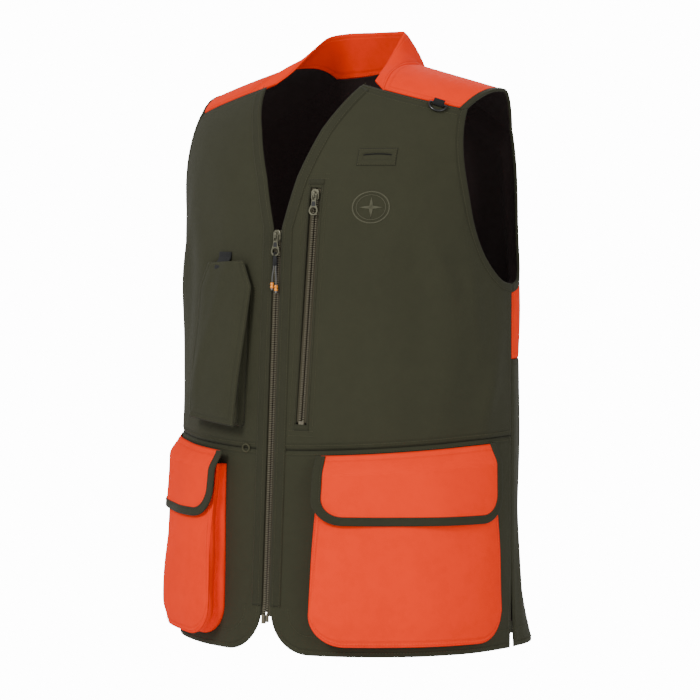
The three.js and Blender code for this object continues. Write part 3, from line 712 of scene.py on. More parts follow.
def swept(
    name: str, points: Array, finish: "Finish", side: Side = Side.LEFT, closed: bool = False
) -> bpy.types.Object:
    """A solid from rings of points, one ring for each step.

    Args:
        name: The piece's name.
        points: Rings by points by three.
        finish: What it is made of.
        side: The side it is for.
        closed: Whether the last ring joins the first.

    Returns:
        The piece.
    """
    rings, count = points.shape[:2]
    faces = []
    for i in range(rings if closed else rings - 1):
        for j in range(count):
            a, b = i * count + j, i * count + (j + 1) % count
            c, d = ((i + 1) % rings) * count + (j + 1) % count, ((i + 1) % rings) * count + j
            faces.append((a, b, c, d))
    if not closed:
        faces.append(tuple(range(count - 1, -1, -1)))
        faces.append(tuple((rings - 1) * count + j for j in range(count)))
    step = np.linalg.norm(np.diff(points[:, 0], axis=0), axis=-1)
    run = np.concatenate([[0], np.cumsum(step)])
    girth = np.linalg.norm(points[0] - np.roll(points[0], -1, 0), axis=-1)
    around = np.concatenate([[0], np.cumsum(girth)[:-1]])
    uv = np.stack(np.meshgrid(around, run), -1) / 1000
    piece = new_piece(name, points.reshape(-1, 3), faces, finish, uv.reshape(-1, 2), None, side)
    outward(piece)
    return piece


def outward(piece: bpy.types.Object) -> bpy.types.Object:
    """Make a closed piece's faces point out of it."""
    work = bmesh.new()
    work.from_mesh(piece.data)
    bmesh.ops.recalc_face_normals(work, faces=work.faces)
    if work.calc_volume(signed=True) < 0:
        bmesh.ops.reverse_faces(work, faces=work.faces)
    work.to_mesh(piece.data)
    work.free()
    return piece


def tube(
    name: str,
    route: Sequence[Sequence[float]],
    radius: float,
    finish: "Finish",
    closed: bool = False,
    sides: int = 10,
    side: Side = Side.LEFT,
) -> bpy.types.Object:
    """A round rod or cord along a route in millimetres from the hem.

    Args:
        name: The piece's name.
        route: Points along its middle.
        radius: Its radius.
        finish: What it is made of.
        closed: Whether the route is a loop.
        sides: How many sides the section has.
        side: The side it is for.

    Returns:
        The piece.
    """
    p = np.asarray(route, float)
    ahead = np.roll(p, -1, 0) if closed else np.vstack([p[1:], 2 * p[-1] - p[-2]])
    behind = np.roll(p, 1, 0) if closed else np.vstack([2 * p[0] - p[1], p[:-1]])
    tangent = ahead - behind
    tangent /= np.linalg.norm(tangent, axis=1, keepdims=True)
    normal = np.empty_like(p)
    start = np.array([0.31, 0.52, 0.8])
    normal[0] = start - tangent[0] * (start @ tangent[0])
    normal[0] /= np.linalg.norm(normal[0])
    for i in range(1, len(p)):
        n = normal[i - 1] - tangent[i] * (normal[i - 1] @ tangent[i])
        normal[i] = n / np.linalg.norm(n)
    across = np.cross(tangent, normal)
    turn = np.linspace(0, 2 * math.pi, sides, endpoint=False)
    if closed:
        # the frame comes back turned by some angle, which is spread over the loop
        end = normal[-1] - tangent[0] * (normal[-1] @ tangent[0])
        off = math.atan2(float(end @ across[0]), float(end @ normal[0]))
        spread = np.linspace(0, off, len(p), endpoint=False)[:, None]
    else:
        spread = np.zeros((len(p), 1))
    angle = turn[None] - spread
    ring = np.cos(angle)[..., None] * normal[:, None] + np.sin(angle)[..., None] * across[:, None]
    return swept(name, p[:, None] + radius * ring, finish, side, closed)


def smooth_route(points: Sequence[Sequence[float]], count: int, closed: bool = False) -> Array:
    """Points at even steps of a smooth curve through a few points.

    Args:
        points: The few points.
        count: How many points come back.
        closed: Whether the curve is a loop.

    Returns:
        The points.
    """
    p = np.asarray(points, float)
    n = len(p)
    ends = (p[-1:], p[:2]) if closed else (2 * p[:1] - p[1:2], 2 * p[-1:] - p[-2:-1])
    q = np.vstack([ends[0], p, ends[1]])
    spans = n if closed else n - 1
    fine = [curve_point(q, int(u), u - int(u)) for u in np.linspace(0, spans, 24 * spans, endpoint=False)]
    fine.append(q[1] if closed else p[-1])
    fine = np.array(fine)
    run = np.concatenate([[0], np.cumsum(np.linalg.norm(np.diff(fine, axis=0), axis=1))])
    at = np.linspace(0, run[-1], count, endpoint=not closed)
    return np.stack([np.interp(at, run, fine[:, k]) for k in range(3)], -1)


def turned(name: str, profile: Sequence[Sequence[float]], finish: "Finish",
           sides: int = 28) -> bpy.types.Object:
    """A turned solid about its own upright axis, in millimetres.

    Args:
        name: The piece's name.
        profile: Pairs of radius and height, upwards, starting and ending on the axis.
        finish: What it is made of.
        sides: How many sides it has.

    Returns:
        The piece, not yet placed.
    """
    p = np.asarray(profile, float)
    p[0, 0] = p[-1, 0] = 0
    angle = np.linspace(0, 2 * math.pi, sides, endpoint=False)
    points = [[0, 0, p[0, 1]]]
    for r, z in p[1:-1]:
        points += [[r * math.cos(a), r * math.sin(a), z] for a in angle]
    points.append([0, 0, p[-1, 1]])
    rings = len(p) - 2
    faces: list[tuple[int, ...]] = []
    for j in range(sides):
        k = (j + 1) % sides
        faces.append((0, 1 + k, 1 + j))
        for i in range(rings - 1):
            a, b = 1 + i * sides + j, 1 + i * sides + k
            faces.append((a, b, b + sides, a + sides))
        faces.append((1 + (rings - 1) * sides + j, 1 + (rings - 1) * sides + k, len(points) - 1))
    return loose(name, np.array(points), faces, finish)


def loose(name: str, points: Array, faces: Iterable[Sequence[int]], finish: "Finish") -> bpy.types.Object:
    """A piece in its own local millimetres, made metres but not yet placed."""
    return new_piece(name, np.asarray(points, float) + SHOULDER_REST, faces, finish)


def slab(
    name: str,
    outline: Sequence[Sequence[float]],
    front: float,
    back: float,
    finish: "Finish",
    bevel: float = 0.3,
    holes: Sequence[Sequence[Sequence[float]]] = (),
) -> bpy.types.Object:
    """A flat plate in a zip's own frame, x across and z up, with rounded edges.

    Args:
        name: The piece's name.
        outline: Pairs of x and z, anticlockwise seen from the front.
        front: Its front face's y.
        back: Its back face's y.
        finish: What it is made of.
        bevel: Radius of its edges.
        holes: Outlines of its holes.

    Returns:
        The piece, not yet placed.
    """
    work = bmesh.new()
    loops = []
    for line in [outline, *holes]:
        corners = [work.verts.new((x / 1000, front / 1000, z / 1000)) for x, z in line]
        loops.append([work.edges.new((a, b)) for a, b in zip(corners, corners[1:] + corners[:1])])
    edges = [e for loop in loops for e in loop]
    bmesh.ops.triangle_fill(work, use_beauty=True, use_dissolve=False, edges=edges)
    bmesh.ops.dissolve_limit(work, angle_limit=0.01, verts=work.verts, edges=work.edges)
    made = bmesh.ops.extrude_face_region(work, geom=list(work.faces))
    moved = [g for g in made["geom"] if isinstance(g, bmesh.types.BMVert)]
    bmesh.ops.translate(work, vec=(0, (back - front) / 1000, 0), verts=moved)
    bmesh.ops.recalc_face_normals(work, faces=work.faces)
    if bevel:
        sharp = [e for e in work.edges if len(e.link_faces) == 2 and e.calc_face_angle(0) > 0.8]
        bmesh.ops.bevel(work, geom=sharp, offset=bevel / 1000, segments=2, affect="EDGES", profile=0.5)
    mesh = bpy.data.meshes.new(name)
    work.to_mesh(mesh)
    work.free()
    return finish.dress(in_scene(name, mesh))


def joined(name: str, pieces: Sequence[bpy.types.Object]) -> bpy.types.Object:
    """One object that holds the meshes of several, with their finishes.

    Args:
        name: The new name.
        pieces: The pieces, which are used up.

    Returns:
        The joined piece.
    """
    first = pieces[0]
    for other in pieces:
        other.data.transform(other.matrix_world)
        other.matrix_world = Matrix.Identity(4)
    with bpy.context.temp_override(
        active_object=first, selected_editable_objects=list(pieces), selected_objects=list(pieces)
    ):
        bpy.ops.object.join()
    first.name = first.data.name = name
    return first


def plain_mesh(piece: bpy.types.Object) -> bpy.types.Mesh:
    """A piece's mesh with its modifiers worked in."""
    piece.update_tag()
    return bpy.data.meshes.new_from_object(piece.evaluated_get(bpy.context.evaluated_depsgraph_get()))


def remove(piece: bpy.types.Object) -> None:
    """Take a helper object out of the scene."""
    bpy.data.objects.remove(piece, do_unlink=True)


# ---- Finishes ------------------------------------------------------------------------------------


class Graph:
    """A node tree that is filled in call by call."""

    def __init__(self, tree: bpy.types.NodeTree) -> None:
        """Start on an empty tree.

        Args:
            tree: The tree.
        """
        self.tree = tree
        self.column = 0

    def add(self, kind: str, inputs: dict[str | int, object] | None = None,
            **settings: object) -> bpy.types.Node:
        """Add a node and connect or set its inputs.

        Args:
            kind: The node's type.
            inputs: Input names or numbers to sockets or plain values.
            **settings: Properties of the node.

        Returns:
            The node.
        """
        made = self.tree.nodes.new(kind)
        made.location = (self.column * 190, -(self.column % 5) * 140)
        self.column += 1
        for key, value in settings.items():
            setattr(made, key, value)
        self.fill(made, inputs or {})
        return made

    def fill(self, node: bpy.types.Node, inputs: dict[str | int, object]) -> None:
        """Connect or set a node's inputs.

        Args:
            node: The node.
            inputs: Input names or numbers to sockets or plain values.
        """
        for key, value in inputs.items():
            if isinstance(value, bpy.types.NodeSocket):
                self.tree.links.new(value, node.inputs[key])
            else:
                node.inputs[key].default_value = value

    def effect(self, maker: Callable[[], bpy.types.NodeTree],
               inputs: dict[str | int, object]) -> bpy.types.Node:
        """One of the shared groups, with its inputs."""
        return self.add("ShaderNodeGroup", inputs, node_tree=group(maker))

    def math(self, operation: str, a: object, b: object = 0.0, clamp: bool = False) -> bpy.types.NodeSocket:
        """A sum, product or other operation on two values."""
        return self.add("ShaderNodeMath", {0: a, 1: b}, operation=operation, use_clamp=clamp).outputs[0]

    def noise(self, vector: object, scale: float, detail: float = 3,
              roughness: float = 0.55) -> bpy.types.NodeSocket:
        """A noise value at each point."""
        ins = {"Vector": vector, "Scale": scale, "Detail": detail, "Roughness": roughness}
        return self.add("ShaderNodeTexNoise", ins).outputs[0]

    def remap(self, value: object, low: float, high: float, to_low: float,
              to_high: float) -> bpy.types.NodeSocket:
        """A value carried smoothly from one range to another."""
        ins = {0: value, 1: low, 2: high, 3: to_low, 4: to_high}
        return self.add("ShaderNodeMapRange", ins, interpolation_type="SMOOTHSTEP").outputs[0]

    def tint(self, colour: object, factor: object) -> bpy.types.NodeSocket:
        """A colour made darker or lighter by a factor."""
        grey = self.add("ShaderNodeCombineColor", {0: factor, 1: factor, 2: factor}).outputs[0]
        ins = {0: 1.0, 6: colour, 7: grey}
        return self.add("ShaderNodeMix", ins, data_type="RGBA", blend_type="MULTIPLY").outputs[2]

    def bump(self, height: object, strength: float, distance: float,
             normal: object = None) -> bpy.types.NodeSocket:
        """A bumped normal, over another one where it is given."""
        ins = {"Height": height, "Strength": strength, "Distance": distance}
        if normal is not None:
            ins["Normal"] = normal
        return self.add("ShaderNodeBump", ins).outputs[0]


def new_group(name: str, inputs: dict[str, tuple[str, object]],
              outputs: dict[str, str]) -> tuple[Graph, dict, dict]:
    """A shader node group with named sockets.

    Args:
        name: The group's name.
        inputs: Socket names to type and default.
        outputs: Socket names to type.

    Returns:
        The graph, its input sockets by name, and its output node's sockets by name.
    """
    tree = bpy.data.node_groups.new(name, "ShaderNodeTree")
    for key, (kind, value) in inputs.items():
        socket = tree.interface.new_socket(name=key, in_out="INPUT", socket_type=kind)
        if value is not None:
            socket.default_value = value
    for key, kind in outputs.items():
        tree.interface.new_socket(name=key, in_out="OUTPUT", socket_type=kind)
    graph = Graph(tree)
    start = graph.add("NodeGroupInput")
    end = graph.add("NodeGroupOutput")
    return graph, {k: start.outputs[k] for k in inputs}, {k: end.inputs[k] for k in outputs}


def weave_group() -> bpy.types.NodeTree:
    """The over-and-under of a woven or knitted face, as a height and a painted shade that darkens the low
    threads.
    """
    graph, ins, outs = new_group(
        "woven face",
        {"Vector": ("NodeSocketVector", None), "Pitch": ("NodeSocketFloat", 0.0006),
         "Slub": ("NodeSocketFloat", 0.3)},
        {"Height": "NodeSocketFloat", "Shade": "NodeSocketFloat"},
    )
    split = graph.add("ShaderNodeSeparateXYZ", {0: ins["Vector"]})
    turn = graph.math("DIVIDE", 2 * math.pi, ins["Pitch"])
    warp = graph.math("SINE", graph.math("MULTIPLY", split.outputs[0], turn))
    weft = graph.math("SINE", graph.math("MULTIPLY", split.outputs[1], turn))
    over = graph.math("MULTIPLY", warp, weft)
    slub = graph.noise(ins["Vector"], 900.0, 2)
    uneven = graph.math("MULTIPLY", graph.math("SUBTRACT", slub, 0.5), ins["Slub"])
    height = graph.math("ADD", graph.math("MULTIPLY", over, 0.5), uneven)
    graph.tree.links.new(height, outs["Height"])
    # painted shade: the colour darkens where the weave's height is low
    graph.tree.links.new(graph.remap(height, -0.6, 0.6, 0.93, 1.05), outs["Shade"])
    return graph.tree


def seam_group() -> bpy.types.NodeTree:
    """The pucker beside a seam: a groove at each row of stitches, with painted shade in the groove and at the
    seam's edge.
    """
    graph, ins, outs = new_group(
        "seam pucker",
        {"Vector": ("NodeSocketVector", None), "Row": ("NodeSocketFloat", 0.0065)},
        {"Height": "NodeSocketFloat", "Shade": "NodeSocketFloat"},
    )
    near = graph.add("ShaderNodeAttribute", attribute_name="seam").outputs["Fac"]
    off = graph.math("DIVIDE", graph.math("SUBTRACT", near, ins["Row"]), 0.0013)
    groove = graph.math("POWER", 2.718, graph.math("MULTIPLY", graph.math("MULTIPLY", off, off), -1.0))
    edge = graph.remap(near, 0.0, 0.0022, 1.0, 0.0)
    pucker = graph.noise(ins["Vector"], 130.0, 2)
    close = graph.remap(near, 0.002, 0.02, 1.0, 0.0)
    wrinkle = graph.math("MULTIPLY", graph.math("MULTIPLY", graph.math("SUBTRACT", pucker, 0.5), close), 1.2)
    deep = graph.math("ADD", graph.math("MULTIPLY", groove, -0.6), graph.math("MULTIPLY", edge, -1.0))
    graph.tree.links.new(graph.math("ADD", deep, wrinkle), outs["Height"])
    # painted shade: darker in the stitch groove and right at the seam's edge
    dark = graph.math("ADD", graph.math("MULTIPLY", groove, 0.1), graph.math("MULTIPLY", edge, 0.3))
    graph.tree.links.new(graph.math("SUBTRACT", 1.0, dark), outs["Shade"])
    return graph.tree


def handling_group() -> bpy.types.NodeTree:
    """Uneven dye, faint creases and lint that handling leaves on cloth."""
    graph, ins, outs = new_group(
        "handled cloth",
        {"Vector": ("NodeSocketVector", None), "Strength": ("NodeSocketFloat", 1.0)},
        {"Height": "NodeSocketFloat", "Shade": "NodeSocketFloat"},
    )
    broad = graph.noise(ins["Vector"], 9.0, 3)
    fine = graph.noise(ins["Vector"], 70.0, 4, 0.6)
    grit = graph.noise(ins["Vector"], 520.0, 2)
    dye = graph.math("ADD", graph.remap(broad, 0.3, 0.7, -0.03, 0.03),
                     graph.remap(fine, 0.3, 0.7, -0.025, 0.025))
    speck = graph.remap(grit, 0.66, 0.78, 0.0, 0.05)
    shade = graph.math("MULTIPLY", graph.math("ADD", dye, speck), ins["Strength"])
    graph.tree.links.new(graph.math("ADD", shade, 1.0), outs["Shade"])
    crease = graph.add("ShaderNodeTexNoise",
                       {"Vector": ins["Vector"], "Scale": 24.0, "Detail": 2.5, "Distortion": 0.6})
    graph.tree.links.new(graph.math("MULTIPLY", crease.outputs[0], ins["Strength"]), outs["Height"])
    return graph.tree


def worn_group() -> bpy.types.NodeTree:
    """Fine scratches and rubbed patches on lacquered metal or moulded plastic."""
    graph, ins, outs = new_group(
        "rubbed surface",
        {"Vector": ("NodeSocketVector", None)},
        {"Height": "NodeSocketFloat", "Rough": "NodeSocketFloat", "Shade": "NodeSocketFloat"},
    )
    patch = graph.noise(ins["Vector"], 420.0, 3)
    scratch = graph.add(
        "ShaderNodeTexNoise",
        {"Vector": graph.add("ShaderNodeMapping", {0: ins["Vector"], 3: (1.0, 9.0, 1.0)}).outputs[0],
         "Scale": 900.0},
    )
    graph.tree.links.new(graph.remap(patch, 0.3, 0.7, -0.08, 0.1), outs["Rough"])
    graph.tree.links.new(graph.remap(patch, 0.3, 0.75, 0.85, 1.15), outs["Shade"])
    graph.tree.links.new(scratch.outputs[0], outs["Height"])
    return graph.tree


GROUPS: dict[str, bpy.types.NodeTree] = {}


def group(maker: Callable[[], bpy.types.NodeTree]) -> bpy.types.NodeTree:
    """The node group that a function makes, made once."""
    if maker.__name__ not in GROUPS:
        GROUPS[maker.__name__] = maker()
    return GROUPS[maker.__name__]


def srgb(red: int, green: int, blue: int) -> tuple[float, float, float, float]:
    """A screen colour from 0 to 255 as the linear colour a shader takes."""
    line = [c / 255 for c in (red, green, blue)]
    return tuple((c / 12.92 if c <= 0.04045 else ((c + 0.055) / 1.055) ** 2.4) for c in line) + (1.0,)


@dataclass(frozen=True)
class Finish:
    """What a piece is made of.

    Attributes:
        title: The material's name.
        slot: The record's material slot; not used.
        colour: Its linear colour.
        rough: Its roughness.
    """

    title: str
    slot: str
    colour: tuple[float, float, float, float]
    rough: float = 0.6

    def material(self) -> bpy.types.Material:
        """The material, made once."""
        found = bpy.data.materials.get(self.title)
        if found:
            return found
        made = bpy.data.materials.new(self.title)
        made.use_nodes = True
        made.node_tree.nodes.clear()
        graph = Graph(made.node_tree)
        shader = graph.add("ShaderNodeBsdfPrincipled", {"Base Color": self.colour, "Roughness": self.rough})
        self.build(graph, shader)
        graph.add("ShaderNodeOutputMaterial", {0: shader.outputs[0]})
        return made

    def build(self, graph: Graph, shader: bpy.types.Node) -> None:
        """Fill in the shader's nodes."""

    def dress(self, piece: bpy.types.Object) -> bpy.types.Object:
        """Give a piece this finish."""
        piece.data.materials.clear()
        piece.data.materials.append(self.material())
        return piece


@dataclass(frozen=True)
class ClothFinish(Finish):
    """Woven or knitted cloth.

    Attributes:
        pitch: Size of the weave.
        weave: Strength of its relief.
        handled: How much uneven dye and creasing shows.
        seams: Whether the piece carries seam distances, which give the seams' bump and painted shade.
        row: Distance of the stitched row from the seam.
        sheen: Fuzz at grazing angles.
        level: Strength of its plain reflection.
    """

    pitch: float = 0.0007
    weave: float = 0.35
    handled: float = 1.0
    seams: bool = True
    row: float = 0.0065
    sheen: float = 0.1
    level: float = 0.2

    def build(self, graph: Graph, shader: bpy.types.Node) -> None:
        """Weave, handling and seams, over the cloth's own coordinates; the weave and the seams add painted
        shade.
        """
        cloth_at = graph.add("ShaderNodeUVMap", uv_map="Cloth").outputs[0]
        place = graph.add("ShaderNodeTexCoord").outputs["Object"]
        weave = graph.effect(weave_group, {"Vector": cloth_at, "Pitch": self.pitch})
        hand = graph.effect(handling_group, {"Vector": place, "Strength": self.handled})
        # painted shade of the weave's low threads, times the uneven dye of handling
        shade = graph.math("MULTIPLY", weave.outputs["Shade"], hand.outputs["Shade"])
        normal = graph.bump(hand.outputs["Height"], 0.25 * self.handled, 0.0025)
        if self.seams:
            seam = graph.effect(seam_group, {"Vector": place, "Row": self.row})
            shade = graph.math("MULTIPLY", shade, seam.outputs["Shade"])
            # painted shade at the seams' edges and stitch grooves
            normal = graph.bump(seam.outputs["Height"], 0.55, 0.0009, normal)
        normal = graph.bump(weave.outputs["Height"], self.weave, 0.00025, normal)
        graph.fill(shader, {
            "Base Color": graph.tint(self.colour, shade),
            "Normal": normal,
            "Roughness": graph.remap(weave.outputs["Height"], -0.6, 0.6, self.rough + 0.05,
                                     self.rough - 0.05),
            "Sheen Weight": self.sheen,
            "Sheen Roughness": 0.5,
            "Specular IOR Level": self.level,
        })


@dataclass(frozen=True)
class HardFinish(Finish):
    """Moulded plastic or lacquered metal.

    Attributes:
        metal: How metallic it is.
        coat: Clear lacquer over it.
    """

    metal: float = 0.0
    coat: float = 0.0

    def build(self, graph: Graph, shader: bpy.types.Node) -> None:
        """Rubbed patches and fine scratches."""
        place = graph.add("ShaderNodeTexCoord").outputs["Object"]
        worn = graph.effect(worn_group, {"Vector": place})
        graph.fill(shader, {
            "Base Color": graph.tint(self.colour, worn.outputs["Shade"]),
            "Roughness": graph.math("ADD", worn.outputs["Rough"], self.rough, True),
            "Normal": graph.bump(worn.outputs["Height"], 0.12, 0.0001),
            "Metallic": self.metal,
            "Coat Weight": self.coat,
        })


OLIVE = ClothFinish("olive softshell", "olive_cloth", srgb(51, 51, 35), 0.82, sheen=0.04)
OLIVE_TRIM = ClothFinish("olive binding", "olive_cloth", srgb(48, 48, 33), 0.82, seams=False, weave=0.5,
                         sheen=0.04)
ORANGE = ClothFinish("blaze orange softshell", "orange_cloth", (1.0, 0.036, 0.002, 1.0), 0.85, sheen=0.0,
                     level=0.08)
# a slightly darker copy of the orange for the bellows: painted shade in the pocket's fold
ORANGE_SHADED_FOLD = ClothFinish(
    "blaze orange gusset", "orange_cloth", (0.98, 0.032, 0.002, 1.0), 0.85, seams=False, sheen=0.0, level=0.08
)
LINING = ClothFinish("black mesh lining", "lining_mesh", srgb(42, 31, 30), 0.9, pitch=0.0022, weave=0.9,
                     seams=False, sheen=0.02)
TAPE = ClothFinish("zip tape", "zip_tape", srgb(72, 68, 52), 0.8, pitch=0.0009, weave=0.7, seams=False,
                   sheen=0.04)
WEBBING = ClothFinish("black webbing", "black_webbing", srgb(24, 24, 24), 0.75, pitch=0.0015, weave=0.9,
                      seams=False)
SHEATH = ClothFinish("black cord sheath", "black_webbing", srgb(26, 26, 27), 0.55, pitch=0.001, seams=False)
CORD = ClothFinish("grey braided cord", "pull_cord", srgb(92, 92, 90), 0.7, pitch=0.0008, weave=0.8,
                   seams=False)
OLIVE_THREAD = ClothFinish("olive thread", "olive_cloth", srgb(72, 71, 52), 0.7, pitch=0.0004, seams=False,
                           sheen=0.0)
ORANGE_THREAD = ClothFinish("orange thread", "orange_cloth", (1.0, 0.07, 0.01, 1.0), 0.7, pitch=0.0004,
                            seams=False, sheen=0.0)
TEETH = HardFinish("moulded teeth", "zip_teeth", srgb(98, 92, 74), 0.45)
ZINC = HardFinish("grey lacquered zinc", "zip_metal", srgb(104, 102, 84), 0.38, metal=0.6, coat=0.15)
BLACK_METAL = HardFinish("black lacquered wire", "ring_metal", srgb(28, 28, 28), 0.3, metal=0.4, coat=0.5)
BLACK_RUBBER = HardFinish("black insert", "zip_teeth", srgb(22, 22, 22), 0.6)
AMBER = HardFinish("amber bead", "cord_bead", srgb(244, 146, 34), 0.3, coat=0.4)
GREY_TIP = HardFinish("grey bead tip", "cord_bead", srgb(112, 112, 110), 0.4)
PRINT = ClothFinish("tone-on-tone print", "olive_cloth", srgb(80, 79, 62), 0.6, weave=0.2, seams=False,
                    sheen=0.0)
# a near-black strip for the slit's opening: painted shadow, no hole is cut
SLIT_SHADOW = ClothFinish("dark slot", "lining_mesh", srgb(14, 14, 12), 0.9, seams=False)


# ---- Carrying ------------------------------------------------------------------------------------


def carry_front(piece: bpy.types.Object, side: Side, hang: Hang = Hang.STIFF) -> bpy.types.Object:
    """Hang a stiff piece on a front's body; any other piece only has its transform baked in.

    Args:
        piece: The piece.
        side: The side it is on.
        hang: STIFF puts it on the front's body; otherwise it is left where it is.

    Returns:
        The piece.
    """
    body = f"front_{side.value}"
    if hang is Hang.STIFF:
        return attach(piece, body)
    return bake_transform(piece)


# ---- Repeats: stitches and teeth -----------------------------------------------------------------


def instance_tree(name: str, shape: Callable[[Graph, dict], bpy.types.NodeSocket],
                  aligned: bool) -> bpy.types.NodeTree:
    """A geometry tree that sets a small shape at even steps along lines.

    Args:
        name: The tree's name.
        shape: Makes the small shape from the tree's inputs.
        aligned: Whether the shape turns with the line.

    Returns:
        The tree, with inputs Pitch, Length, Width, Height and Finish.
    """
    tree = bpy.data.node_groups.new(name, "GeometryNodeTree")
    tree.interface.new_socket(name="Geometry", in_out="INPUT", socket_type="NodeSocketGeometry")
    for key in ("Pitch", "Length", "Width", "Height"):
        tree.interface.new_socket(name=key, in_out="INPUT", socket_type="NodeSocketFloat")
    tree.interface.new_socket(name="Finish", in_out="INPUT", socket_type="NodeSocketMaterial")
    tree.interface.new_socket(name="Geometry", in_out="OUTPUT", socket_type="NodeSocketGeometry")
    graph = Graph(tree)
    start = graph.add("NodeGroupInput")
    ins = {s.name: s for s in start.outputs if s.name}
    line = graph.add("GeometryNodeMeshToCurve", {"Mesh": ins["Geometry"]})
    points = graph.add("GeometryNodeCurveToPoints", {"Curve": line.outputs[0], "Length": ins["Pitch"]},
                       mode="LENGTH")
    placed = {"Points": points.outputs["Points"], "Instance": shape(graph, ins)}
    if aligned:
        placed["Rotation"] = points.outputs["Rotation"]
    instances = graph.add("GeometryNodeInstanceOnPoints", placed)
    real = graph.add("GeometryNodeRealizeInstances", {0: instances.outputs[0]})
    smooth = graph.add("GeometryNodeSetShadeSmooth", {0: real.outputs[0]})
    dressed = graph.add("GeometryNodeSetMaterial", {0: smooth.outputs[0], "Material": ins["Finish"]})
    end = graph.add("NodeGroupOutput")
    tree.links.new(dressed.outputs[0], end.inputs[0])
    return tree


def stitch_shape(graph: Graph, ins: dict) -> bpy.types.NodeSocket:
    """One stitch: a small spindle along the line."""
    ball = graph.add("GeometryNodeMeshUVSphere", {"Segments": 6, "Rings": 4, "Radius": 0.5})
    size = graph.add("ShaderNodeCombineXYZ", {0: ins["Height"], 1: ins["Width"], 2: ins["Length"]})
    return graph.add("GeometryNodeTransform",
                     {"Geometry": ball.outputs[0], "Scale": size.outputs[0]}).outputs[0]


def tooth_shape(graph: Graph, ins: dict) -> bpy.types.NodeSocket:
    """One moulded tooth: a block with a rounded head that meets the other side."""
    size = graph.add("ShaderNodeCombineXYZ", {0: ins["Length"], 1: ins["Width"], 2: ins["Height"]})
    block = graph.add("GeometryNodeMeshCube", {"Size": size.outputs[0]})
    head = graph.add("GeometryNodeMeshUVSphere", {"Segments": 8, "Rings": 5, "Radius": 0.5})
    wide = graph.math("MULTIPLY", ins["Width"], 0.85)
    tall = graph.math("MULTIPLY", ins["Height"], 1.25)
    round_size = graph.add("ShaderNodeCombineXYZ",
                           {0: graph.math("MULTIPLY", ins["Length"], 0.62), 1: wide, 2: tall})
    reach = graph.add("ShaderNodeCombineXYZ", {0: graph.math("MULTIPLY", ins["Length"], -0.42)})
    knob = graph.add(
        "GeometryNodeTransform",
        {"Geometry": head.outputs[0], "Translation": reach.outputs[0], "Scale": round_size.outputs[0]},
    )
    both = graph.add("GeometryNodeJoinGeometry")
    graph.tree.links.new(block.outputs[0], both.inputs[0])
    graph.tree.links.new(knob.outputs[0], both.inputs[0])
    return both.outputs[0]


TREES: dict[str, bpy.types.NodeTree] = {}


@dataclass(frozen=True)
class Repeat:
    """A small thing repeated along lines.

    Attributes:
        tree: Name of the geometry tree.
        pitch: Distance from one to the next, in metres.
        length: Its length.
        width: Its width.
        height: Its height.
    """

    tree: str = "stitches"
    pitch: float = 0.0034
    length: float = 0.0026
    width: float = 0.0008
    height: float = 0.0006

    def group(self) -> bpy.types.NodeTree:
        """The geometry tree, made once."""
        if self.tree not in TREES:
            stitched = self.tree == "stitches"
            TREES[self.tree] = instance_tree(self.tree, stitch_shape if stitched else tooth_shape, stitched)
        return TREES[self.tree]

    def make(self, name: str, lines: Sequence[Array], finish: Finish) -> bpy.types.Object:
        """Set the small thing along lines and turn the result into a plain mesh.

        Args:
            name: The piece's name.
            lines: Each a row of points in metres.
            finish: What it is made of.

        Returns:
            The piece.
        """
        points, edges = [], []
        for line in lines:
            first = len(points)
            points += [tuple(p) for p in line]
            edges += [(i, i + 1) for i in range(first, len(points) - 1)]
        mesh = bpy.data.meshes.new(f"{name} line")
        mesh.from_pydata(points, edges, [])
        carrier = in_scene(f"{name} line", mesh)
        modifier = carrier.modifiers.new("repeat", "NODES")
        modifier.node_group = self.group()
        values = {"Pitch": self.pitch, "Length": self.length, "Width": self.width, "Height": self.height}
        values["Finish"] = finish.material()
        for item in self.group().interface.items_tree:
            if item.item_type == "SOCKET" and item.in_out == "INPUT" and item.name in values:
                modifier[item.identifier] = values[item.name]
        plain = plain_mesh(carrier)
        remove(carrier)
        plain.name = name
        return finish.dress(in_scene(name, plain))


STITCH = Repeat()
FINE_STITCH = Repeat(pitch=0.0028, length=0.0021, width=0.0007, height=0.0005)


def row_on_form(
    path: Edge, mm: float, out: Callable[[Array], Array] | float, side: Side, steps: int,
    surface: Surface = Surface.AROUND,
) -> Array:
    """A row for stitches beside a path on the form.

    Args:
        path: The path.
        mm: Distance to its left.
        out: Distance out from the form.
        side: The side it is for.
        steps: How many steps it has.
        surface: Which chart the path is on.

    Returns:
        Points in metres.
    """
    t = np.linspace(0, 1, steps + 1)
    a, b = offset(surface, path, t, mm)
    lift = out(t) if callable(out) else out
    return to_model(on_form(surface, a, b, lift, side)) * side.mirror


# ---- The pattern's edges -------------------------------------------------------------------------


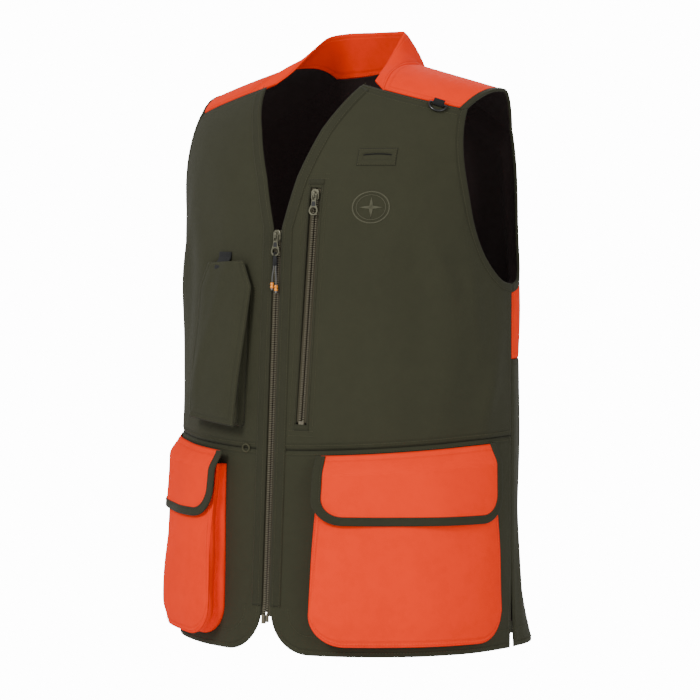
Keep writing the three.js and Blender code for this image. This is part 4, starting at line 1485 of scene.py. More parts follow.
@dataclass(frozen=True)
class Pattern:
    """Seams and edges of the vest's pattern, in degrees round and millimetres up."""

    zip_gap: float = 6.5
    zip_top: float = 489.0
    zip_bottom: float = 44.0
    waist_z: float = 234.0
    waist_rise: float = 14.0
    back_seam: float = 337.0
    arm_bottom: float = 424.0
    vent: float = 112.0
    binding: float = 10.0
    corner: float = 50.0
    facing: float = 13.0
    neck_x: float = 68.0
    yoke_arm_x: float = 188.0
    back_arm_x: float = 190.0
    back_arm_turn: float = 50.0
    back_neck_x: float = 66.0
    back_neck_turn: float = 25.0
    collar_foot: float = 26.0

    @property
    def zip_edge(self) -> float:
        """Where a front's cloth ends beside the zip."""
        return FORM.phi_at(self.zip_gap)

    @property
    def front_side(self) -> float:
        """Where a front ends at the side seam."""
        return FORM.side_seam - 0.1

    @property
    def back_side(self) -> float:
        """Where the back ends at the side seam."""
        return FORM.side_seam + 0.1

    def yoke_turn(self, x: Array) -> Array:
        """Degrees from the shoulder line down to the yoke's front seam."""
        return 31 + 0.045 * np.asarray(x, float)

    def yoke_seam(self, x: Array) -> Array:
        """Height of the yoke's front seam at x."""
        return FORM.over(x, -self.yoke_turn(x))[..., 2]

    def waist(self, phi: Array) -> Array:
        """Height of the waist seam."""
        return self.waist_z + self.waist_rise * smoothstep(phi, 0, FORM.side_seam)

    def rising(self, points: Sequence[tuple[float, float]], low: float, high: float) -> list[list[float]]:
        """Points given by share of height between low and high."""
        return [[phi, low + (high - low) * share] for phi, share in points]

    def vent_edge(self, inset: float) -> list[list[float]]:
        """The front's side edge up the vent, drawn in by some millimetres."""
        side = self.front_side - inset / MM_PER_DEGREE
        return [[side - 1.7 * (1 - z / self.vent) ** 1.4, z] for z in (0, 25, 50, 75, 95, self.vent)]

    @property
    def neck(self) -> list[list[float]]:
        """The neck edge from the top of the zip to the yoke."""
        phi = FORM.phi_at
        points = [(self.zip_edge, 0), (phi(22), 0.35), (phi(43), 0.68), (phi(self.neck_x), 1)]
        return self.rising(points, self.zip_top, float(self.yoke_seam(self.neck_x)))

    @property
    def front_arm(self) -> list[list[float]]:
        """The armhole's front edge, upwards."""
        last = FORM.phi_at(self.yoke_arm_x)
        points = [(self.front_side, 0), (84, 0.03), (76, 0.145), (70, 0.325), (66, 0.545), (62.5, 0.775),
                  (last, 1)]
        return self.rising(points, self.arm_bottom, float(self.yoke_seam(self.yoke_arm_x)))

    @property
    def back_arm(self) -> list[list[float]]:
        """The armhole's back edge, upwards."""
        high = float(FORM.over(self.back_arm_x, self.back_arm_turn)[2])
        last = 180 - FORM.phi_at(self.back_arm_x)
        points = [(self.back_side, 0), (101, 0.035), (109, 0.16), (114.5, 0.355), (117, 0.595), (118, 0.82),
                  (last, 1)]
        return self.rising(points, self.arm_bottom, high)

    def back_top(self, x: Array) -> Array:
        """Height of the back's top edge at x."""
        out = np.abs(np.asarray(x, float))
        neck = lerp(33, self.back_neck_turn, (out / self.back_neck_x) ** 2)
        arm = lerp(self.back_neck_turn, self.back_arm_turn, (out - self.back_neck_x)
                   / (self.back_arm_x - self.back_neck_x))
        return FORM.over(x, np.where(out < self.back_neck_x, neck, arm))[..., 2]

    def yoke(self, s: Array, t: Array) -> Chart:
        """The yoke's chart over the shoulder, from its front seam to its back seam."""
        front = lerp(self.neck_x + self.collar_foot, self.yoke_arm_x - self.binding, s)
        back = lerp(self.back_neck_x, self.back_arm_x - self.binding, s)
        reach = (back - self.back_neck_x) / (self.back_arm_x - self.back_neck_x)
        turn = lerp(-self.yoke_turn(front), lerp(self.back_neck_turn, self.back_arm_turn, reach), t)
        return lerp(front, back, t) + lerp(-3, 10, s) * (1 - (2 * t - 1) ** 2), turn


PATTERN = Pattern()


def shifted(points: Sequence[Sequence[float]], mm: float) -> list[list[float]]:
    """Armhole points moved away from the hole's middle."""
    centre = (91.0, 530.0)
    moved = []
    for i, (phi, z) in enumerate(points):
        away = np.array([(phi - centre[0]) * MM_PER_DEGREE, z - centre[1]])
        if i == 0:
            away[0] = 0
        if i == len(points) - 1:
            away[1] = 0
        away *= mm / np.linalg.norm(away)
        moved.append([phi + away[0] / MM_PER_DEGREE, z + away[1]])
    return moved


def folded_tape(width: float, half: float) -> list[tuple[float, float]]:
    """Section of a binding folded over an edge: round at the fold, flat at the sewn side.

    Args:
        width: Its width.
        half: Half its thickness at the fold.

    Returns:
        Pairs of distance to the left and distance out.
    """
    outer = [(0.0, half * 0.45), (0.5, half * 0.9), (1.6, half * 1.12), (4.0, half * 1.02),
             (width - 2.6, half * 0.92),
             (width - 1.8, half * 0.72), (width - 0.8, half * 0.98), (width, half * 0.5)]
    return outer + [(x, -y) for x, y in reversed(outer)]


# ---- The sub-assemblies --------------------------------------------------------------------------


@dataclass
class Fronts:
    """The two front panels, skirts, facings, linings and armhole bindings.

    Attributes:
        half: Half the shell's thickness.
        lining_in: How far inside the shell the lining lies.
        bind_half: Half the binding's thickness.
    """

    half: float = 0.95
    lining_in: float = 10.4
    bind_half: float = 1.7

    def build(self) -> None:
        """Make both fronts."""
        for side in Side:
            self.panel(side)
            self.skirt(side)
            self.facing(side)
            self.lining(side)
            self.binding(side)
            self.stitches(side)

    def panel(self, side: Side) -> None:
        """The chest and belly panel, with the chest zip's window on the left."""
        p = PATTERN
        side_edge = [[p.front_side, float(p.waist(p.front_side)) + 0.2]] + shifted(p.front_arm, p.binding / 2)
        side_edge[1][0] = p.front_side
        last_phi = side_edge[-1][0]
        last_x = FORM.half_width * math.sin(math.radians(last_phi))
        side_edge[-1][1] = float(p.yoke_seam(last_x)) - 0.3

        def bottom(s: Array) -> Array:
            """The lower edge."""
            phi = lerp(p.zip_edge, p.front_side, s)
            return np.stack([phi, p.waist(phi) + 0.2], -1)

        def top(s: Array) -> Array:
            """The upper edge."""
            x = lerp(p.neck_x, last_x, s)
            return np.stack([np.degrees(np.arcsin(x / FORM.half_width)), p.yoke_seam(x) - 0.3], -1)

        left = along([[p.zip_edge, p.waist_z + 0.2], *p.neck[:-1], [p.neck[-1][0], p.neck[-1][1] - 0.3]])
        chart = spanned(bottom, top, left, along(side_edge))(shares(92, 0.002), shares(150, 0.0015))
        piece = cloth(f"front_cloth_{side.value}", chart, OLIVE, side, cut=Cut(self.half, 0.8, 7, "rbt"))
        if side is Side.LEFT:
            ChestZip().cut_window(piece)
        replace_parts(piece, f"front_panel_{side.value}", f"chest_panel_{side.value}")
        carry_front(piece, side, Hang.BENDS)
        log.info("front cloth %s", side.value)

    def skirt(self, side: Side) -> None:
        """The panel below the waist seam, with its rounded corner beside the zip."""
        p = PATTERN
        inner, round_phi = p.zip_edge, FORM.phi_at(p.zip_gap + p.corner)
        bottom = along([*rounded([inner, p.corner], [inner, 0], [round_phi, 0]), p.vent_edge(0)[0]])

        def top(s: Array) -> Array:
            """The upper edge."""
            phi = lerp(inner, p.front_side, s)
            return np.stack([phi, p.waist(phi) - 0.2], -1)

        left = straight([inner, p.corner], [inner, float(p.waist(inner)) - 0.2])
        right = along([*p.vent_edge(0), [p.front_side, float(p.waist(p.front_side)) - 0.2]])
        chart = spanned(bottom, top, left, right)(shares(110, 0.002), shares(80, 0.002))
        piece = cloth(f"skirt_cloth_{side.value}", chart, OLIVE, side, cut=Cut(self.half, 0.7, 6, "rbt"))
        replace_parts(piece, f"front_skirt_{side.value}")
        carry_front(piece, side)
        log.info("front skirt %s", side.value)

    def facing(self, side: Side) -> None:
        """The stitched strip beside the zip and up the neck."""
        p = PATTERN
        path = along([[p.zip_edge, p.corner + 4], [p.zip_edge, p.zip_top], *p.neck[1:-1],
                      [p.neck[-1][0], p.neck[-1][1] - 4]])
        w = p.facing
        profile = [(0.6, 0.2), (1.1, 1.0), (0.2, 1.7), (-2.2, 1.9), (-w / 2, 1.72), (-w + 2.4, 1.85),
                   (-w + 0.9, 1.7), (-w, 0.95), (-w, 0.5)]
        piece = strip(f"front_edge_{side.value}", path, profile, 220, OLIVE_TRIM, side)
        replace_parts(piece, f"front_facing_{side.value}")
        carry_front(piece, side, Hang.BENDS)

    def lining(self, side: Side) -> None:
        """The black lining inside the front."""
        p = PATTERN
        edge = shifted(p.front_arm, p.binding - 3)[1:]
        neck = [[phi + 2.2, z - 2] for phi, z in p.neck]
        top = edge[-1]
        bottom = straight([neck[0][0], 30], [p.front_side - 1, 30])
        high = straight([neck[3][0], neck[3][1]], [top[0], top[1] - 1])
        left = along([[neck[0][0], 30], *neck])
        right = along([[p.front_side - 1, 30], [p.front_side - 1, edge[0][1] - 6], *edge[:-1],
                       [top[0], top[1] - 1]])
        chart = spanned(bottom, high, left, right)(shares(40), shares(90))
        close = smoothstep(np.minimum.reduce(list(edge_gaps(*chart))), 0, 26)
        out = -LINING_IN - (self.lining_in - LINING_IN) * close
        piece = cloth(f"front_lining_{side.value}", chart, LINING, side, out, Cut(0.4, 0.0, 5, "lrt"))
        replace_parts(piece, f"lining_front_{side.value}")
        carry_front(piece, side, Hang.BENDS)

    def binding(self, side: Side) -> None:
        """The folded tape round the armhole's front edge."""
        p = PATTERN
        points = [*p.front_arm[:-1], [p.front_arm[-1][0], p.front_arm[-1][1] - 0.5]]
        piece = strip(f"arm_binding_front_{side.value}", smoothed(points),
                      folded_tape(p.binding, self.bind_half), 130, OLIVE_TRIM, side)
        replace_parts(piece, f"armhole_binding_front_{side.value}", f"armhole_binding_chest_{side.value}")
        carry_front(piece, side, Hang.BENDS)

    def stitches(self, side: Side) -> None:
        """Rows beside the zip, the neck, the waist, the yoke, the armhole and the hem."""
        p = PATTERN
        face = self.half + 0.15
        edge = along([[p.zip_edge, p.corner + 4], [p.zip_edge, p.zip_top], *p.neck[1:]])

        def waist(k: float) -> Edge:
            """A line k above the waist seam."""
            return along([[a, float(p.waist(a)) + k] for a in np.linspace(p.zip_edge, p.front_side, 30)])

        def yoke(k: float) -> Edge:
            """A line k below the yoke's seam."""
            across = np.linspace(p.neck_x + 4, 180, 24)
            return along([[FORM.phi_at(x), float(p.yoke_seam(x)) - k] for x in across])

        arm = smoothed(p.front_arm)
        hem = along([*rounded([p.zip_edge, p.corner], [p.zip_edge, 0],
                              [FORM.phi_at(p.zip_gap + p.corner), 0]),
                     [p.front_side - 2.4, 0]])
        rows = [row_on_form(edge, -3.2, 1.95, side, 240), row_on_form(edge, -11.4, 1.95, side, 240)]
        rows += [row_on_form(waist(k), 0, face, side, 80) for k in (-4.6, 5.2)]
        rows += [row_on_form(yoke(k), 0, face, side, 60) for k in (3.0, 9.0)]
        rows += [row_on_form(arm, p.binding - 1.7, self.bind_half * 0.9, side, 120)]
        rows += [row_on_form(hem, k, face, side, 110) for k in (5.0, 22.0)]
        rows += [row_on_form(along([*p.vent_edge(k), [p.front_side - k / MM_PER_DEGREE, 420]]), 0, face, side,
                             110)
                 for k in (3.0, 9.0)]
        piece = STITCH.make(f"front_stitches_{side.value}", rows, OLIVE_THREAD)
        carry_front(piece, side, Hang.BENDS)
        log.info("front stitches %s", side.value)


@dataclass
class Back:
    """The back panel and skirt, the back lining and the armhole bindings behind."""

    half: float = 0.95
    bind_half: float = 1.7

    def build(self) -> None:
        """Make the back."""
        self.panel()
        self.skirt()
        self.lining()
        for side in Side:
            self.binding(side)
            self.seam_tape(side)
        self.stitches()

    def seam_tape(self, side: Side) -> None:
        """The black tape over the side seam inside."""
        path = straight([FORM.side_seam, PATTERN.vent], [FORM.side_seam, PATTERN.arm_bottom - 5])
        line = [-12, -9, -6, -3, 0, 3, 6, 9, 12]
        profile = [(x, -4.6) for x in line] + [(x, -3.9) for x in reversed(line)]
        piece = strip(f"side_seam_tape_{side.value}", path, profile, 60, LINING, side)
        x, y, z = to_model(FORM.around(FORM.side_seam, 260.0)) * side.mirror
        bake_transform(piece)

    def chart(self, low: float, out: float, below: float, across: int, up: int) -> Chart:
        """The back from a height up to the yokes.

        Args:
            low: Height of its lower edge.
            out: How far the armhole edges are moved out.
            below: How far its top is below the seam.
            across: Steps across.
            up: Steps up.

        Returns:
            Chart coordinates.
        """
        p = PATTERN
        side = PATTERN.back_side
        edge = shifted(p.back_arm, out)
        edge[0][0] = side
        last_x = FORM.half_width * math.sin(math.radians(edge[-1][0]))
        edge[-1][1] = float(p.back_top(last_x)) - below
        near = along([[side, low], *edge])

        def far(t: Array) -> Array:
            """The edge at the side."""
            at = near(t)
            return np.stack([360 - at[..., 0], at[..., 1]], -1)

        def top(s: Array) -> Array:
            """The upper edge."""
            x = lerp(last_x, -last_x, s)
            return np.stack([180 - np.degrees(np.arcsin(x / FORM.half_width)), p.back_top(x) - below], -1)

        return spanned(straight([side, low], [360 - side, low]), top, near, far)(shares(across, 0.001),
                                                                                 shares(up, 0.002))

    def panel(self) -> None:
        """The orange upper back."""
        chart = self.chart(PATTERN.back_seam, PATTERN.binding / 2, 0.3, 190, 110)
        piece = cloth("back_cloth", chart, ORANGE, Side.LEFT, cut=Cut(self.half, 0.8, 7, "lrbt"))
        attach(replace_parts(piece, "back_panel"), "back")
        log.info("back cloth")

    def skirt(self) -> None:
        """The olive lower back."""
        side = PATTERN.back_side
        s, b = np.meshgrid(shares(200, 0.001), lerp(0, PATTERN.back_seam - 0.4, shares(110, 0.002)))
        near = side + 1.2 * np.clip(1 - b / PATTERN.vent, 0, 1) ** 1.4
        a = lerp(near, 360 - near, s)
        piece = cloth("back_skirt_cloth", (a, b), OLIVE, Side.LEFT, cut=Cut(self.half, 0.8, 7, "lrbt"))
        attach(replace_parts(piece, "back_skirt"), "back")
        log.info("back skirt")

    def lining(self) -> None:
        """The black lining inside the back."""
        chart = self.chart(30, PATTERN.binding - 3, 0.5, 110, 80)
        close = smoothstep(np.minimum.reduce(list(edge_gaps(*chart))), 0, 26)
        piece = cloth("back_inner_lining", chart, LINING, Side.LEFT, -LINING_IN - 8.5 * close,
                      Cut(0.4, 0.0, 5, "lrt"))
        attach(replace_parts(piece, "lining_back"), "back")

    def binding(self, side: Side) -> None:
        """The folded tape round the armhole's back edge and over the shoulder."""
        p = PATTERN
        profile = [(-x, y) for x, y in reversed(folded_tape(p.binding, self.bind_half))]
        piece = strip(f"arm_binding_back_{side.value}", smoothed(p.back_arm), profile, 120, OLIVE_TRIM, side)
        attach(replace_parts(piece, f"armhole_binding_back_{side.value}"), "back")

        def edge(t: Array) -> Array:
            """The free edge."""
            x, turn = p.yoke(np.ones_like(t), lerp(-0.02, 1.03, t))
            return np.stack([x + p.binding, turn], -1)

        top = strip(f"arm_binding_top_{side.value}", edge, profile, 70, OLIVE_TRIM, side,
                    surface=Surface.OVER, narrow=(0.72, 0.6))
        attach(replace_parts(top, f"armhole_binding_top_{side.value}"), "back")

    def stitches(self) -> None:
        """Rows at the back's seams and hem, and along the bindings."""
        p, face = PATTERN, self.half + 0.15
        side = PATTERN.back_side
        rows, orange = [], []
        for k in (5.0, 22.0):
            rows.append(row_on_form(straight([side, k], [360 - side, k]), 0, face, Side.LEFT, 260))
        rows.append(row_on_form(straight([side, p.back_seam - 4], [360 - side, p.back_seam - 4]), 0, face,
                                Side.LEFT, 240))
        for k in (3.0, 9.0):
            line = along([[180 - FORM.phi_at(x),
                           float(p.back_top(x)) - k] for x in np.linspace(184, -184, 80)])
            orange.append(row_on_form(line, 0, face, Side.LEFT, 200))
        for s in Side:
            rows.append(row_on_form(smoothed(p.back_arm), -p.binding + 1.7, self.bind_half * 0.9, s, 110))
            upright = straight([side + 2.4, 8], [side + 2.4, 330])
            rows.append(row_on_form(upright, 0, face, s, 80))
            high = straight([side + 2.4, 342], [side + 2.4, 418])
            orange.append(row_on_form(high, 0, face, s, 30))

            def top(t: Array) -> Array:
                """The upper seam."""
                x, turn = p.yoke(np.ones_like(t), t)
                return np.stack([x + p.binding - lerp(6.2, 5.2, t), turn], -1)

            rows.append(row_on_form(top, 0, self.bind_half * 0.9, s, 60, Surface.OVER))
        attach(STITCH.make("back_stitches", rows, OLIVE_THREAD), "back")
        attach(STITCH.make("back_orange_stitches", orange, ORANGE_THREAD), "back")
        log.info("back stitches")


@dataclass
class Shoulders:
    """The orange yokes and the stand collar."""

    half: float = 0.95
    collar_half: float = 1.5

    def build(self) -> None:
        """Make both yokes and the collar."""
        for side in Side:
            self.yoke(side)
            self.lining(side)
        self.collar()
        self.stitches()

    def yoke(self, side: Side) -> None:
        """One yoke, from its front seam over the shoulder to its back seam."""
        s, t = np.meshgrid(shares(64, 0.004), shares(84, 0.003))
        x, turn = PATTERN.yoke(s * 1.065, t)
        piece = cloth(f"yoke_cloth_{side.value}", (x, turn), ORANGE, side, cut=Cut(self.half, 0.9, 8, "lbt"),
                      surface=Surface.OVER)
        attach(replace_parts(piece, f"yoke_{side.value}"), "back")
        log.info("yoke %s", side.value)

    def lining(self, side: Side) -> None:
        """The black lining under one yoke, over its seams."""
        s, t = np.meshgrid(lerp(-0.01, 1.07, shares(40)), lerp(-0.03, 1.04, shares(50)))
        x, turn = PATTERN.yoke(s, t)
        piece = cloth(f"yoke_inner_lining_{side.value}", (x, turn), LINING, side, -LINING_IN,
                      Cut(0.4, 0.0, 5, "lrbt"), Surface.OVER)
        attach(piece, "back")

    def foot(self) -> Array:
        """The collar's seam, from the left front end round the neck to the right."""
        p = PATTERN
        x, turn = p.yoke(np.zeros(16), np.linspace(-0.01, 1, 16))
        side = FORM.over(x + 1.2, turn) + np.array([0, 0, -1.3])
        x = np.linspace(62, 0, 11)
        behind = FORM.over(x, lerp(33, p.back_neck_turn,
                                   (x / p.back_neck_x) ** 2) + 2.6) + np.array([0, -0.8, -1.1])
        half = np.concatenate([side, behind])
        line = smooth_route(np.concatenate([half, half[-2::-1] * Side.RIGHT.mirror]), 240)
        for _ in range(6):
            line[1:-1] = (line[:-2] + 2 * line[1:-1] + line[2:]) / 4
        return line

    def crest(self) -> Array:
        """The collar's upper edge."""
        p, top = PATTERN, FORM.ridge_top
        half = [[p.neck_x + 1, -57, float(p.yoke_seam(p.neck_x)) + 4], [64, -30, top - 27], [59, 2, top - 3],
                [54, 28, top + 15], [42, 50, top + 21], [22, 58, top + 22], [0, 60, top + 22]]
        half = [np.array(h, float) for h in half]
        return np.array(half + [h * Side.RIGHT.mirror for h in half[-2::-1]])

    def collar(self) -> None:
        """The stand collar: two layers folded at the top, a little slack at the sides."""
        count, up = 220, 26
        low, high = smooth_route(self.foot(), count), smooth_route(self.crest(), count)
        t = shares(up, 0.02)
        run = np.linspace(0, 1, count)
        wall = lerp(low[None], high[None], t[:, None, None])
        along_it = np.gradient(wall, axis=1)
        rise = np.broadcast_to(high - low, wall.shape)
        normal = np.cross(along_it, rise)
        normal /= np.linalg.norm(normal, axis=-1, keepdims=True)
        slack = 1.6 * np.sin(run * 15.0 + 0.6)[None] * np.sin(run * 31.0)[None] * np.sin(math.pi * t)[:, None]
        bow = 1.8 * np.sin(math.pi * t)[:, None] * np.sin(math.pi * run)[None] ** 0.5
        roll = self.collar_half * np.sqrt(np.clip(1 - (smoothstep(t, 0.86, 1.0)) ** 2, 0.02, 1))[:, None]
        thick = roll * (0.5 + 0.5 * smoothstep(t, -0.01, 0.05))[:, None]
        middle = wall + normal * (slack + bow)[..., None]
        outer, inner = middle + normal * thick[..., None], middle - normal * thick[..., None]
        length = np.concatenate([[0], np.cumsum(np.linalg.norm(np.diff(low, axis=0), axis=1))])
        height = np.linalg.norm(high - low, axis=1).mean() * t
        uv = np.stack(np.meshgrid(length, height), -1) / 1000
        seam = np.minimum(height[:, None] + 0 * length[None], (height.max() - height)[:, None] + 3.0) / 1000
        piece = shell("stand_collar", inner, outer, ORANGE, uv, seam)
        outward(piece)
        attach(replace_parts(piece, "collar"), "back")
        self.normal, self.middle, self.t, self.thick = normal, middle, t, thick
        log.info("collar")

    def stitches(self) -> None:
        """Rows along the yokes' seams and round the collar's top and foot."""
        p, face, rows = PATTERN, self.half + 0.12, []
        for side in Side:
            for share in (0.0, 1.0):

                def line(t: Array, share: float = share) -> Array:
                    """A row beside one of the yoke's seams."""
                    x, turn = p.yoke(lerp(0.03, 0.98, t), np.full_like(t, share))
                    return np.stack([x, turn + (1.1 if share == 0 else -1.3)], -1)

                rows.append(row_on_form(line, 0, face, side, 60, Surface.OVER))
        for k in (0.9, 0.08):
            i = int(np.argmin(np.abs(self.t - k)))
            out = self.thick[i, 0] + 0.1
            for way in (1, -1):
                rows.append(to_model(self.middle[i] + self.normal[i] * out * way)[3:-3])
        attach(FINE_STITCH.make("shoulder_stitches", rows, ORANGE_THREAD), "back")
        log.info("shoulder stitches")


@dataclass
class ZipLine:
    """A straight zip's own frame: z up the zip, y into the vest, x across.

    Attributes:
        bottom: Its lower end in millimetres from the hem.
        top: Its upper end.
        outward: The direction out of the cloth.
    """

    bottom: Array
    top: Array
    outward: Array

    @property
    def length(self) -> float:
        """Its length in millimetres."""
        return float(np.linalg.norm(self.top - self.bottom))

    def matrix(self) -> Matrix:
        """From the zip's own metres to the model's."""
        z = (self.top - self.bottom) / self.length
        y = self.outward - z * (self.outward @ z)
        y = -y / np.linalg.norm(y)
        x = np.cross(y, z)
        at = to_model(self.bottom)
        rows = [[x[i], y[i], z[i], at[i]] for i in range(3)]
        return Matrix([*rows, [0, 0, 0, 1]])

    def place(self, piece: bpy.types.Object, up: float = 0.0) -> bpy.types.Object:
        """Put a piece made in the zip's frame where it belongs, a number of millimetres up the zip."""
        piece.data.transform(self.matrix() @ Matrix.Translation((0, 0, up / 1000)))
        return piece


def round_outline(radius: float, centre: float = 0.0, sides: int = 24) -> list[tuple[float, float]]:
    """Corners of a circle in a zip's plane."""
    turn = np.linspace(0, 2 * math.pi, sides, endpoint=False)
    return [(radius * math.cos(a), centre + radius * math.sin(a)) for a in turn]


@dataclass
class ZipHardware:
    """The slider and the puller that both zips share.

    Attributes:
        width: The slider's width.
        height: The slider's height.
        face: Where the slider's front plate ends towards the teeth.
        back: Where its back plate begins.
        plate: Thickness of a plate.
        ring: Radius of the puller's ring.
        hole: Radius of its hole.
        length: From the bar down to the ring's middle.
    """

    width: float = 10.0
    height: float = 13.0
    face: float = -1.6
    back: float = 3.7
    plate: float = 1.5
    ring: float = 5.7
    hole: float = 3.9
    length: float = 18.5

    def slider(self, name: str, line: ZipLine, up: float) -> bpy.types.Object:
        """A slider with a shield-shaped plate, a post between the teeth and an arched bail."""
        w, h = self.width / 2, self.height
        shield = [(-w + 1.6, 0), (w - 1.6, 0), (w, 2.2), (w, h - 3), (w - 2.4, h), (-w + 2.4, h), (-w, h - 3),
                  (-w, 2.2)]
        out = self.face - self.plate
        parts = [
            slab("front plate", shield, out, self.face, ZINC, 0.5),
            slab("back plate", shield, self.back, self.back + self.plate, ZINC, 0.5),
            slab("post", [(-0.5, h - 5), (0.5, h - 5), (0.5, h), (-0.5, h)], self.face - 0.2, self.back + 0.2,
                 ZINC, 0),
        ]
        for s in (-1, 1):
            x0, x1 = sorted((s * 3.85, s * (w - 0.1)))
            parts.append(slab("lip", [(x0, 1), (x1, 1), (x1, h - 3), (x0, h - 3)], self.face - 0.2,
                              self.face + 0.9, ZINC, 0.2))
        arch = [(0, out + 0.4, 3.2), (0, out - 1.8, 3.2), (0, out - 3.1, 4.2), (0, out - 3.35, 6.5),
                (0, out - 3.1, 8.8), (0, out - 1.8, 9.8), (0, out + 0.4, 9.8)]
        route = smooth_route(arch, 22) + SHOULDER_REST
        bail = tube("bail", route, 0.62, ZINC, sides=12)
        bail.data.transform(Matrix.Diagonal((1.7, 1, 1, 1)))
        parts.append(bail)
        return line.place(joined(name, parts), up)

    def puller(self, name: str, line: ZipLine, up: float, waist: float) -> bpy.types.Object:
        """A wire frame puller that narrows from its bar and ends in a ring, with a dark middle."""
        n = self.length
        frame_line = [(-3.3, 1.0), (-2.9, -7.0), (-waist, -12.0), (-5.2, -n + 2.6), (-self.ring, -n)]
        lower = [(self.ring * math.cos(a),
                  -n + self.ring * math.sin(a)) for a in np.linspace(math.pi, 2 * math.pi, 15)]
        outline = [*frame_line[:-1], *lower, *[(-x, z) for x, z in reversed(frame_line[:-1])]]
        window = [(-1.8, -1.0), (-1.8, -6.4), (1.8, -6.4), (1.8, -1.0)]
        at = (0, -4.7, 6.5)
        plate = slab("plate", outline, -0.75, 0.75, ZINC, 0.3, [window, round_outline(self.hole, -n)])
        inlay = slab("inlay", [(-1.9, -8.0), (-2.6, -11.8), (-2.2, -13.4), (2.2, -13.4), (2.6, -11.8),
                               (1.9, -8.0)],
                     -0.95, 0.95, BLACK_RUBBER, 0.2)
        piece = joined(name, [plate, inlay])
        piece.data.transform(Matrix.Translation([c / 1000 for c in at]))
        return line.place(piece, up)


@dataclass
class MainZip:
    """The front zip: woven tapes, moulded teeth, end pieces, slider, puller and its two beaded cords."""

    pitch: float = 0.0026
    hardware: ZipHardware = field(default_factory=ZipHardware)

    def line(self) -> ZipLine:
        """The zip's frame."""
        bottom = FORM.around(0, PATTERN.zip_bottom)
        top = FORM.around(0, PATTERN.zip_top - 15)
        return ZipLine(bottom, top, np.array([0.0, -1.0, 0.0]))

    def build(self) -> None:
        """Make the zip and hang its pieces on their bodies."""
        line = self.line()
        for side in Side:
            teeth = zip_teeth(f"main_teeth_{side.value}", line, side, self.pitch)
            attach(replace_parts(teeth, f"main_zip_chain_{side.value}"), f"front_{side.value}")
            tape = zip_tape(f"main_tape_{side.value}", line, side)
            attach(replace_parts(tape, f"main_zip_tape_{side.value}"), f"front_{side.value}")
        self.ends(line)
        slider = self.hardware.slider("front_slider", line, line.length)
        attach(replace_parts(slider, "main_zip_slider"), "main_slider")
        puller = self.hardware.puller("front_puller", line, line.length, 3.6)
        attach(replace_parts(puller, "main_zip_puller"), "main_pull")
        self.cords(line)
        log.info("main zip")

    def ends(self, line: ZipLine) -> None:
        """The insertion pin and the retainer box."""
        pin = slab("front_insertion_pin", [(0.8, -9), (3.4, -9), (3.4, -0.3), (0.8, -0.3)], -1.2, 2.2, TEETH,
                   0.4)
        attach(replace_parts(line.place(pin), "zip_insertion_pin"), "front_left")
        box = slab("front_retainer_box", [(-5.0, -11), (-0.8, -11), (-0.8, -0.3), (-5.0, -0.3)], -2.0, 2.3,
                   TEETH, 0.6)
        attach(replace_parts(line.place(box), "zip_retainer_box"), "front_right")

    def cords(self, line: ZipLine) -> None:
        """The sheath below the puller's ring, two cords out of it, and a bead with a grey tip on each."""
        top, bottom = -self.hardware.length - 4.4, -self.hardware.length - 17
        at = np.array([0, -4.7, 6.5])
        up = line.length
        sheath = turned("cord_sheath",
                        [(0, bottom), (1.9, bottom + 0.3), (2.6, bottom + 1.6), (2.75, (top + bottom) / 2),
                                        (2.5, top - 2.4), (1.5, top - 0.4), (0, top)], SHEATH)
        sheath.data.transform(Matrix.Diagonal((1, 0.62, 1, 1)))
        sheath.data.transform(Matrix.Translation(Vector(at) / 1000))
        loop = tube("loop", smooth_route([(-1.1, 0, top - 2), (-1.0, -1.0, top + 1.6), (0, -1.3, top + 3.0),
                                          (1.0, 1.0, top + 1.6), (1.1, 0, top - 2)], 20)
                    + at + SHOULDER_REST, 0.8, SHEATH)
        knot = line.place(joined("cord_sheath", [sheath, loop]), up)
        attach(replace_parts(knot, "pull_cord_knot"), "main_pull")
        routes = {
            "left": [(1.3, 0, bottom + 9), (1.35, 0, bottom + 3), (1.5, -0.1, -40), (2.1, -0.2, -46),
                     (2.5, -0.1, -51), (2.6, 0, -57), (2.6, 0, -61)],
            "right": [(-1.3, 0, bottom + 9), (-1.35, 0, bottom + 3), (-1.6, -0.1, -39), (-2.3, -0.2, -44),
                      (-2.8, -0.2, -49), (-3.0, 0, -54), (-3.0, 0, -58)],
        }
        matrix = line.matrix() @ Matrix.Translation((0, 0, up / 1000))
        for key, points in routes.items():
            local = smooth_route(points, 30) + at
            cord = tube(f"cord_{key}", local + SHOULDER_REST, 0.85, CORD, sides=12)
            cord.data.transform(matrix)
            path = [matrix @ (Vector(p) / 1000) for p in local]
            length = sum((b - a).length for a, b in zip(path, path[1:]))
            end = local[-1] + np.array([0, 0, 4.0])
            bead = self.bead(f"bead_{key}", end)
            bead.data.transform(matrix)
            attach(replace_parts(cord, f"pull_cord_{key}"), "main_pull")
            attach(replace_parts(bead, f"cord_bead_{key}"), "main_pull")
            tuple(path[0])

    def bead(self, name: str, top: Array) -> bpy.types.Object:
        """A bead of two rings with a grey tip below.

        Args:
            name: Its name.
            top: Where the cord enters it, in the zip's frame.

        Returns:
            The bead, not yet placed.
        """
        rings = turned("rings", [(0, 2.2), (1.25, 2.25), (1.9, 2.8), (2.2, 3.6), (2.2, 4.6), (1.7, 5.4),
                                 (1.45, 5.8),
                                 (1.7, 6.2), (2.2, 6.9), (2.2, 7.9), (1.8, 8.7), (1.0, 9.1), (0, 9.1)], AMBER)
        tip = turned("tip", [(0, 0), (0.9, 0.1), (1.15, 0.5), (1.2, 2.0), (1.15, 2.5), (0, 2.5)], GREY_TIP)
        piece = joined(name, [rings, tip])
        piece.data.transform(Matrix.Translation(Vector(top - np.array([0, 0, 9.4])) / 1000))
        return piece


